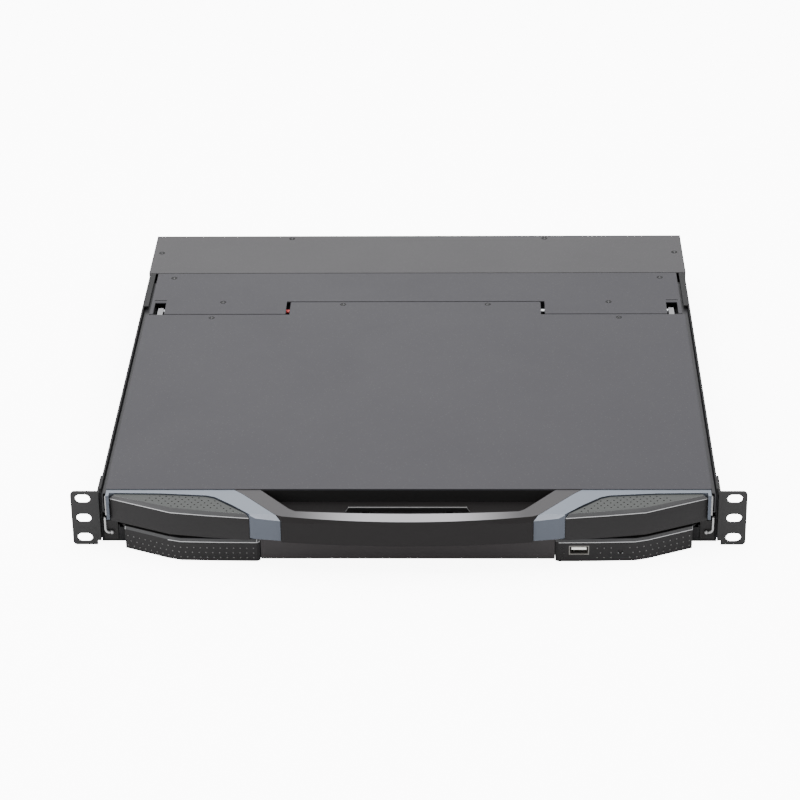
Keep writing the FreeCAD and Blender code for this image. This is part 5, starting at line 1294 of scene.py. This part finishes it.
@dataclass
class RearConnectors:
    """Power inlet, switch and ports on the rear panel, with the boards behind them."""

    insert_margin: float = 0.9
    insert_drop: float = 4.2
    insert_half: float = 3.3
    insert_taper: float = 1.0
    insert_depth: float = 1.0
    face_depth: float = 0.5
    pin_pitch: float = 2.29
    pins_in_row: int = 5
    pin_rows: int = 3
    row_pitch: float = 1.98
    post_spread: float = 12.5
    mark_thickness: float = 0.4
    ring_radius: float = 1.6
    contact_rim: tuple[Point, ...] = (
        (0, -0.3), (0.62, -0.3), (0.62, 0.06), (0.38, 0.06), (0.34, -0.2), (0, -0.2))
    hex_post: tuple[Point, ...] = (
        (0, -0.4), (2.5, -0.4), (2.75, -0.1), (2.75, 4.6), (2.4, 5.0), (1.3, 5.0), (1.2, 2.0),
        (0, 2.0))

    def build(self) -> None:
        """Dresses the connectors and adds their contacts, posts and switch marks."""
        dress_all({"power_inlet": 0.4, "rocker_frame": 0.35})
        Skin("power_rocker", 0.45, SHELL_BLACK).dress()
        dress_all({"console_ports": 0.2, "main_board": 0.1, "board_posts": 0.15,
                   "power_supply": 0.2})
        self._video_face()
        self._switch_marks()

    def _video_face(self) -> None:
        """Blue insert with three rows of contact holes, and the two hexagonal posts."""
        low, high = min(islands("console_ports"), key=lambda box: box[0].x)
        x, y = (low.x + high.x) / 2 / MM, high.y / MM
        z = high.z / MM - self.insert_drop
        wide = (high.x - low.x) / 2 / MM - self.insert_margin
        narrow, half = wide - self.insert_taper, self.insert_half
        outline = [(x - wide, z + half), (x - narrow, z - half), (x + narrow, z - half),
                   (x + wide, z + half)]
        face = y - self.face_depth
        add_part("video_insert", lambda work: slab(work, outline, y - self.insert_depth, face),
                 INSULATOR_BLUE, "console_ports", edge=0.15, crisp=True)
        holes = []
        for row in range(self.pin_rows):
            stagger = (row % 2) * 0.5 - 0.25
            height = z + (row - 1) * self.row_pitch
            for pin in range(self.pins_in_row):
                across = x + (pin - (self.pins_in_row - 1) / 2 + stagger) * self.pin_pitch
                holes.append((Vector((across * MM, face * MM, height * MM)), BACK))
        rim = turned_mesh("contact_rim", self.contact_rim, steps=14)
        repeated("video_contacts", rim, holes, CONTACT_GOLD, "console_ports")
        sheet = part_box("rear_panel")[1].y
        posts = [(Vector(((x + side * self.post_spread) * MM, sheet, z * MM)), BACK)
                 for side in SIDES]
        post = turned_mesh("hex_post", self.hex_post, steps=6)
        repeated("video_posts", post, posts, NICKEL, "console_ports")

    def _switch_marks(self) -> None:
        """The bar and the ring that mark on and off on the two faces of the rocker."""
        probe = merged_copy("power_rocker", "rocker_probe")
        outer = sorted((face for face in probe.data.polygons if face.normal.y > 0.7),
                       key=lambda face: -face.area)[:2]
        lower, upper = sorted(((face.center.copy(), face.normal.copy()) for face in outer),
                              key=lambda face: face[0].z)
        discard(probe)
        h, r = self.mark_thickness / 2, self.ring_radius
        square = [*rectangle(r - h, -h, r, h), (r - h, -h)]
        ring = turned_mesh("off_mark", square, steps=28)
        bar = mesh_from("on_mark", lambda work: prism(work, rectangle(-h, -r, h, r), -h, h))
        across = Vector((1, 0, 0))
        for mesh, (place, normal) in ((ring, lower), (bar, upper)):
            turn = Matrix((across, normal.cross(across), normal)).transposed().to_4x4()
            mesh.transform(Matrix.Translation(place) @ turn)
            mark = new_object(mesh.name, mesh)
            soften(mark.data)
            fit_piece(mark, MARK_WHITE, "power_rocker")


@dataclass
class BallSlides:
    """Two pairs of three-member ball slides, with the release levers of their moving members."""

    balls: int = 14
    member_edge: float = 0.15
    strip_share: float = 0.6
    strip_edge: float = 0.1
    lever_gap: float = 0.3
    lever_thickness: float = 1.4
    lever_reach: float = 3.4
    lever_rise: float = 4.0
    lever_edge: float = 0.15
    hook_radius: float = 3.8
    hook_shift: float = 1.4
    hook_top: float = -0.4
    hook_height: float = 4.6
    bend_steps: int = 8
    tip_radius: float = 1.5
    wing_gap: float = 0.3
    wing_thickness: float = 0.8
    wing_clearance: float = 0.2

    def build(self) -> None:
        """Dresses both pairs."""
        for level, finish in (("lid", DARK_ZINC), ("drawer", SLIDE_STEEL)):
            for member in ("outer", "middle", "inner"):
                Skin(f"{level}_slide_{member}", self.member_edge, finish, 2).dress()
            for retainer in ("outer", "inner"):
                self._retainer(f"{level}_{retainer}_cages")
        self._levers()

    def _levers(self) -> None:
        """Bright release levers on the front ends of the moving members, with the wings."""
        low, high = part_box("lid_slide_inner")
        trim_low, trim_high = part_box("trim_frames")
        front = low.y / MM
        x0 = trim_high.x / MM + self.lever_gap
        x1 = x0 + self.lever_thickness
        y0 = front - self.lever_reach
        y1 = front - self.wing_gap - self.wing_thickness - self.lever_gap
        foot, top = trim_low.z / MM, high.z / MM + self.lever_rise
        bend_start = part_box("drawer_slide_inner")[0].z / MM + self.hook_height
        outside, inside = self.hook_radius, self.hook_radius - self.lever_thickness
        centre = x1 + self.hook_shift - outside
        section = [*self._bend(centre, bend_start, outside),
                   *self._bend(centre, bend_start, inside)[::-1]]

        def straight(work: bmesh.types.BMesh) -> None:
            """The upright strips of the display level.

            Args:
                work: the bmesh to fill.
            """
            for side in SIDES:
                left, right = sorted((side * x0, side * x1))
                prism(work, rectangle(left, y0, right, y1), foot, top)

        def hooked(work: bmesh.types.BMesh) -> None:
            """The strips of the drawer level, bent inwards at the bottom."""
            for side in SIDES:
                slab(work, [(side * x, z) for x, z in section], y0, y1)

        add_part("lid_levers", straight, LEVER_STEEL, "lid_slide_inner", self.lever_edge)
        add_part("drawer_levers", hooked, LEVER_STEEL, "drawer_slide_inner", self.lever_edge)
        self._wings(front)
        tip_x = centre - self.tip_radius
        tip_z = bend_start - outside + self.lever_thickness / 2
        spots = [(Vector((side * tip_x * MM, (y0 + y1) / 2 * MM, tip_z * MM)), UP)
                 for side in SIDES]
        tip = ball_mesh("lever_tip", self.tip_radius, steps=16)
        repeated("lever_tips", tip, spots, LEVER_STEEL, "drawer_slide_inner")

    def _bend(self, centre: float, start: float, radius: float) -> list[Point]:
        """One side of a hook's section, from its top round the bend.

        Args:
            centre: where the bend's centre lies across.
            start: the height of the bend's centre.
            radius: the radius of this side.

        Returns:
            The corners in millimetres.
        """
        turns = [math.pi / 2 * i / self.bend_steps for i in range(self.bend_steps + 1)]
        arc = [(centre + radius * math.cos(a), start - radius * math.sin(a)) for a in turns]
        return [(centre + radius, self.hook_top), *arc]

    def _wings(self, front: float) -> None:
        """Black end plates in front of the drawer's slides.

        Args:
            front: where the slides end in front, in millimetres.
        """
        low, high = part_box("drawer_slide_outer")
        gap = self.wing_clearance
        inner = min(abs(corner.x) for box in islands("drawer_slide_inner") for corner in box) / MM
        y1 = front - self.wing_gap
        y0 = y1 - self.wing_thickness

        def plates(work: bmesh.types.BMesh) -> None:
            """One plate on each side.

            Args:
                work: the bmesh to fill.
            """
            for side in SIDES:
                x0, x1 = sorted((side * (inner + gap), side * (high.x / MM - self.wing_gap)))
                prism(work, rectangle(x0, y0, x1, y1), low.z / MM + gap, high.z / MM - gap)

        add_part("drawer_wings", plates, SHELL_BLACK, "drawer_slide_inner", self.lever_edge)

    def _retainer(self, node: str) -> None:
        """Steel strips with a full row of balls, in the place of one retainer node.

        Args:
            node: the CAD node of the strips.
        """
        boxes = islands(node)

        def strips(work: bmesh.types.BMesh) -> None:
            """One strip inside the box of each solid.

            Args:
                work: the bmesh to fill.
            """
            for low, high in boxes:
                middle, half = (low.z + high.z) / 2, (high.z - low.z) * self.strip_share / 2
                box_mesh(work, Vector((low.x, low.y, middle - half)),
                         Vector((high.x, high.y, middle + half)))

        strip = new_object(node + "_strips", mesh_from(node + "_strips", strips))
        round_edges(strip, self.strip_edge, 1)
        fit_piece(strip, ZINC, node, node)
        radius = (boxes[0][1].z - boxes[0][0].z) / 2 / MM
        places = []
        for low, high in boxes:
            for i in range(self.balls):
                along = low.y + (high.y - low.y) * (i + 0.5) / self.balls
                places.append((Vector(((low.x + high.x) / 2, along, (low.z + high.z) / 2)), UP))
        ball = ball_mesh("ball", radius, steps=12)
        repeated(node + "_balls", ball, places, BALL_STEEL, node)


@dataclass
class HingeCarriage:
    """Sliding carriage with the friction hinges and its cover."""

    cover_edge: float = 0.3

    def build(self) -> None:
        """Dresses the carriage."""
        Skin("hinge_cover", self.cover_edge, LID_GREY).dress()
        dress_all({"carriage_beam": 0.25, "carriage_rails": 0.3, "hinge_barrels": 0.2})
        Skin("hinge_shafts", 0.2, ZINC).dress()
        dress_all({"display_cable": 0.0})
        CrossScrew().set_in("hinge_cover_screws")


@dataclass
class DisplayLid:
    """Screen housing with its cover, arms, module and buttons."""

    cover_edge: float = 0.35
    buttons: int = 4

    def build(self) -> None:
        """Dresses the lid."""
        dress_all({"lid_cover": self.cover_edge, "lid_housing": 0.4})
        Skin("lid_arms", 0.3, ARM_STEEL).dress()
        dress_all({"lcd_panel": 0.2, "lcd_driver": 0.1, "osd_board": 0.1})
        CrossScrew().set_in("lid_screws")
        dress_all({f"osd_button_{number}": 0.15 for number in range(1, self.buttons + 1)})


@dataclass
class PullFront:
    """Moulded front of the lid: handle with its pocket and catch, trims and dimpled grips."""

    grip_edge: float = 0.6
    grip_skirt: float = 1.5
    light_below: float = 0.75
    dimple_pitch: float = 4.7
    dimple_row: float = 3.3
    dimple_radius: float = 0.62
    dimple_depth: float = 0.42
    above_face: float = 0.3
    dimple_rows: int = 12
    dimples_in_row: int = 24
    clear_of_edge: float = 1.9
    first_dimple: float = -186.0
    row_slope: float = 0.09

    def build(self) -> None:
        """Dresses the front."""
        Skin("handle_bar", 0.55, HANDLE_GREY, segments=4).dress()
        dress_all({"handle_cover": 0.3})
        Skin("release_catch", 0.35, edge_highlight=LIP_HIGHLIGHT).dress()
        Skin("trim_frames", 0.45, edge_highlight=TRIM_EDGE_HIGHLIGHT, slope_sheen=TRIM_SLOPE_SHEEN).dress()
        self._grips()

    def _top_face(self) -> list[Point]:
        """Outline of the left grip's top face, in millimetres, from its solid.

        Returns:
            The corners in order.
        """
        probe = merged_copy("upper_grips", "grip_probe")
        face = max((face for face in probe.data.polygons
                    if face.normal.z > 0.99 and face.center.x < 0), key=lambda face: face.area)
        corners = [probe.data.vertices[i].co / MM for i in face.vertices]
        discard(probe)
        return [(corner.x, corner.y) for corner in corners]

    def _inside(self, x: float, y: float, outline: Sequence[Point]) -> bool:
        """Whether a point is inside the outline and clear of its edges.

        Args:
            x: where the point lies across.
            y: how deep it lies.
            outline: the corners in order.

        Returns:
            True where a dimple fits.
        """
        crossings, nearest = 0, math.inf
        for (x0, y0), (x1, y1) in zip(outline, [*outline[1:], outline[0]]):
            dx, dy = x1 - x0, y1 - y0
            if (y0 > y) != (y1 > y) and x < x0 + (y - y0) * dx / dy:
                crossings += 1
            share = max(0.0, min(1.0, ((x - x0) * dx + (y - y0) * dy) / (dx * dx + dy * dy)))
            nearest = min(nearest, math.hypot(x - x0 - share * dx, y - y0 - share * dy))
        return crossings % 2 == 1 and nearest > self.clear_of_edge

    def _dimple_places(self) -> list[Place]:
        """Staggered places on the top faces of both grips.

        Returns:
            Position and direction of each dimple, in metres.
        """
        outline = self._top_face()
        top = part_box("upper_grips")[1].z
        rear = max(y for _, y in outline) - self.clear_of_edge
        places: list[Place] = []
        for row in range(self.dimple_rows):
            for i in range(self.dimples_in_row):
                along = (i + 0.5 * (row % 2)) * self.dimple_pitch
                x = self.first_dimple + along
                y = rear - row * self.dimple_row - self.row_slope * along
                if self._inside(x, y, outline):
                    places += [(Vector((side * x * MM, y * MM, top)), UP) for side in (1, -1)]
        return places

    def _grips(self) -> None:
        """Both upper grips with staggered dimples sunk into their top faces, the dimple floors in
        painted shade.
        """
        r, d = self.dimple_radius, self.dimple_depth
        profile = [(0, -d), (r * 0.6, -d * 0.8), (r, 0), (r, self.above_face),
                   (0, self.above_face)]
        bowl = turned_mesh("dimple", profile, steps=12)
        grips = merged_copy("upper_grips", "upper_grips_base")
        stretched(grips, low=self.grip_skirt)
        grips.data.materials.append(GRIP_BLACK.material())
        round_edges(grips, self.grip_edge, 4, GRIP_EDGE_HIGHLIGHT)
        plain = with_slopes(grips, "upper_grips_plain", GRIP_SLOPE_SHEEN, self.light_below)
        host = place_points("dimple_places", self._dimple_places())
        cutter = new_object("dimple_cutter", bowl)
        piece = Pattern.DIMPLES.value.run(plain, "upper_grips_piece", {
            "Places": host, "Cutter": cutter, "Floor Material": DIMPLE_SHADE.material()})
        discard(plain, host, cutter)
        soften(piece.data)
        fit_piece(piece, GRIP_BLACK, "upper_grips", "upper_grips")


@dataclass
class KeyboardDrawer:
    """Sliding drawer with its deck, keys and touchpad."""

    key_edge: float = 0.55

    def build(self) -> None:
        """Dresses the drawer."""
        dress_all({
            "tray_pan": 0.3, "keyboard_deck": 0.2, "keyboard_base": 0.15,
            "keycaps": self.key_edge, "enter_key": self.key_edge, "space_bar": self.key_edge,
            "touchpad": 0.15, "pad_button_left": 0.25, "pad_button_right": 0.25})


@dataclass
class DrawerFront:
    """Moulded front of the drawer: two dotted grips, middle strip, socket and plunger."""

    grip_edge: float = 0.6
    light_below: float = 0.5
    crest_rise: float = 1.2
    dot_radius: float = 0.55
    dot_height: float = 0.28
    dot_root: float = 0.15
    dot_pitch: float = 4.7
    row_spacing: float = 3.9
    low_row: float = -18.3
    inner_clear: float = 2.4
    socket_clear: float = 10.5
    plunger_clear: float = 4.2
    tongue_inset: float = 1.9
    tongue_recess: float = 0.35
    tongue_back: float = 3.0
    tongue_heights: Point = (0.15, 2.05)
    contacts: int = 4
    contact_half: Triple = (0.5, 4.5, 0.1)
    contact_depth: float = 5.6

    def build(self) -> None:
        """Dresses the front and adds dots and contacts."""
        for side in ("left", "right"):
            Skin("lower_grip_" + side, self.grip_edge, GRIP_BLACK, segments=4,
                 edge_highlight=GRIP_EDGE_HIGHLIGHT, slope_sheen=GRIP_SLOPE_SHEEN, light_below=self.light_below,
                 rise=self.crest_rise).dress()
            self._dots(side)
        Skin("lower_strip", 0.4, STRIP_BLACK).dress()
        Skin("usb_port", 0.12, SOCKET_STEEL, segments=2).dress()
        dress_all({"reset_plunger": 0.15})
        self._socket_contacts()

    def _front_path(self, side: str) -> list[Point]:
        """The front line of a grip in plan, from its solid's lower face, outer end first.

        Args:
            side: left or right.

        Returns:
            The corners of the line, in millimetres.
        """
        corners = [vert.co for vert in frame["nodes"]["lower_grip_" + side].data.vertices]
        low = min(corner.z for corner in corners)
        rear = max(corner.y for corner in corners)
        found = {(round(corner.x / MM, 3), round(corner.y / MM, 3)) for corner in corners
                 if corner.z < low + SAME_LEVEL and corner.y < rear - 0.5 * MM}
        return sorted(found, key=lambda point: -abs(point[0]))[:-1]

    def _bare_spans(self) -> list[Point]:
        """The spans along X that stay bare round the socket and the plunger.

        Returns:
            The two ends of each span, in millimetres.
        """
        spans = []
        for node, clear in (("usb_port", self.socket_clear),
                            ("reset_plunger", self.plunger_clear)):
            low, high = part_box(node)
            middle = (low.x + high.x) / 2 / MM
            spans.append((middle - clear, middle + clear))
        return spans

    def _runs(self, side: str) -> list[list[Point]]:
        """The stretches of a grip's front line that carry dots, outer end first.

        Args:
            side: left or right.

        Returns:
            The corners of each stretch, in millimetres.
        """
        path = self._front_path(side)
        bare = self._bare_spans() if side == "right" else []
        limits = sorted((edge for span in bare for edge in span), reverse=True)
        runs, run = [], [path[0]]
        for start, end in zip(path, path[1:]):
            for edge in limits:
                if min(start[0], end[0]) < edge < max(start[0], end[0]):
                    share = (edge - start[0]) / (end[0] - start[0])
                    cut = (edge, start[1] + share * (end[1] - start[1]))
                    runs.append([*run, cut])
                    run = [cut]
            run.append(end)
        runs.append(run)
        return [line for line in runs
                if not any(low < (line[0][0] + line[-1][0]) / 2 < high for low, high in bare)]

    def _dots(self, side: str) -> None:
        """Three staggered rows of raised dots on the grip's front, in a lighter grey that paints
        their glints.

        Args:
            side: left or right.
        """
        r, h = self.dot_radius, self.dot_height
        profile = [(0, -self.dot_root), (r, -self.dot_root), (r, 0.04), (r * 0.75, h * 0.75),
                   (0, h)]
        dome = turned_mesh("grip_dot", profile, steps=10)
        item = new_object("grip_dot", dome)
        pieces = []
        for number, line in enumerate(self._runs(side)):
            points = line if side == "left" else line[::-1]
            mesh = bpy.data.meshes.new("dot_path")
            mesh.from_pydata([(x * MM, y * MM, 0.0) for x, y in points],
                             [(i, i + 1) for i in range(len(points) - 1)], [])
            host = new_object("dot_path", mesh)
            pieces.append(Pattern.WALL_ROWS.value.run(host, f"dots_{side}_{number}", {
                "Item": item, "Material": DOT_GLINT.material(), "Pitch": self.dot_pitch * MM,
                "Row Spacing": self.row_spacing * MM, "Low": self.low_row * MM,
                "Keep Off": self.inner_clear * MM}))
            discard(host)
        discard(item)
        whole = joined("grip_dots_" + side, pieces)
        soften(whole.data, degrees=50.0)
        fit_piece(whole, DOT_GLINT, "lower_grip_" + side)

    def _socket_contacts(self) -> None:
        """White tongue and its contacts inside the front socket."""
        low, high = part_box("usb_port")
        middle = (low.z + high.z) / 2
        x0, x1 = low.x + self.tongue_inset * MM, high.x - self.tongue_inset * MM
        y0, y1 = low.y + self.tongue_recess * MM, high.y - self.tongue_back * MM
        z0, z1 = (middle + height * MM for height in self.tongue_heights)
        add_part("socket_tongue", lambda work: box_mesh(
            work, Vector((x0, y0, z0)), Vector((x1, y1, z1))), INSULATOR_WHITE, "usb_port",
            edge=0.2, crisp=True)
        half = Vector(self.contact_half) * MM
        blade = mesh_from("contact", lambda work: box_mesh(work, -half, half))
        pitch = (x1 - x0) / self.contacts
        y, z = y0 + self.contact_depth * MM, z0 - self.contact_half[2] / 2 * MM
        places = [(Vector((x0 + pitch * (i + 0.5), y, z)), DOWN) for i in range(self.contacts)]
        repeated("socket_contacts", blade, places, CONTACT_GOLD, "usb_port")


# ------------------------------------------------------------------ studio
@dataclass(frozen=True)
class Softbox:
    """A soft rectangular light: its place, aim and size in metres and its power in watts."""

    name: str
    place: Triple
    aim: Triple
    size: Point
    power: float

    def hang(self) -> None:
        """Adds the light to the scene."""
        data = bpy.data.lights.new(self.name, "AREA")
        data.shape = "RECTANGLE"
        data.size, data.size_y = self.size
        data.energy = self.power
        light = bpy.data.objects.new(self.name, data)
        bpy.context.scene.collection.objects.link(light)
        light.location = self.place
        light.rotation_mode = "QUATERNION"
        way = Vector(self.aim) - Vector(self.place)
        light.rotation_quaternion = way.to_track_quat("-Z", "Y")


@dataclass
class Studio:
    """Pale floor, soft lights and the camera."""

    eye: Triple = (46.7, -1738.6, 1007.8)
    yaw: float = -1.69
    pitch: float = 27.70
    roll: float = -0.83
    lens: float = 126.33
    sensor: float = 36.0
    clip: Point = (0.05, 50.0)
    floor_gap: float = 0.4
    floor_size: float = 60.0
    surroundings: float = 1.9
    lights: tuple[Softbox, ...] = (
        Softbox("overhead", (0.0, 0.25, 1.9), (0.0, 0.2, 0.0), (2.6, 1.8), 80),
        Softbox("rear_box", (-0.25, 2.2, 1.25), (0.0, 0.1, 0.0), (0.9, 0.8), 3),
        Softbox("side_key", (-1.9, -1.3, 0.9), (-0.1, 0.0, 0.0), (1.2, 1.0), 34),
    )

    def build(self) -> None:
        """Sets up floor, lights, world and camera."""
        self._floor()
        for light in self.lights:
            light.hang()
        self._world()
        self._camera()

    def _floor(self) -> None:
        """A wide pale floor just under the case."""
        half = self.floor_size / 2
        level = CAD_BOX[0].z - self.floor_gap * MM
        mesh = bpy.data.meshes.new("floor")
        mesh.from_pydata([(x, y, level) for x, y in rectangle(-half, -half, half, half)], [],
                         [(0, 1, 2, 3)])
        floor = new_object("floor", mesh)
        floor.data.materials.append(FLOOR_WHITE.material())

    def _world(self) -> None:
        """Even pale surroundings."""
        world = bpy.data.worlds.new("surroundings")
        world.use_nodes = True
        background = world.node_tree.nodes["Background"]
        background.inputs["Color"].default_value = (1.0, 1.0, 1.0, 1.0)
        background.inputs["Strength"].default_value = self.surroundings
        bpy.context.scene.world = world

    def _camera(self) -> None:
        """The camera, with its turn built from yaw, pitch and roll."""
        yaw, pitch, roll = (math.radians(angle) for angle in (self.yaw, self.pitch, self.roll))
        ahead = Vector((math.sin(yaw) * math.cos(pitch), math.cos(yaw) * math.cos(pitch),
                        -math.sin(pitch)))
        right = Vector((math.cos(yaw), -math.sin(yaw), 0))
        up = right.cross(ahead)
        across = right * math.cos(roll) + up * math.sin(roll)
        upward = up * math.cos(roll) - right * math.sin(roll)
        data = bpy.data.cameras.new("camera")
        data.lens, data.sensor_width = self.lens, self.sensor
        data.clip_start, data.clip_end = self.clip
        camera = bpy.data.objects.new("camera", data)
        bpy.context.scene.collection.objects.link(camera)
        turn = Matrix((across, upward, -ahead)).transposed().to_4x4()
        camera.matrix_world = Matrix.Translation(Vector(self.eye) * MM) @ turn
        bpy.context.scene.camera = camera


def main() -> None:
    logging.basicConfig(level=logging.INFO, format="%(message)s")
    assemblies = (CaseShell(), RearConnectors(), BallSlides(), HingeCarriage(), DisplayLid(),
                  PullFront(), KeyboardDrawer(), DrawerFront(), Studio())
    for assembly in assemblies:
        log.info("building %s", type(assembly).__name__)
        assembly.build()


if __name__ == "__main__":
    main()
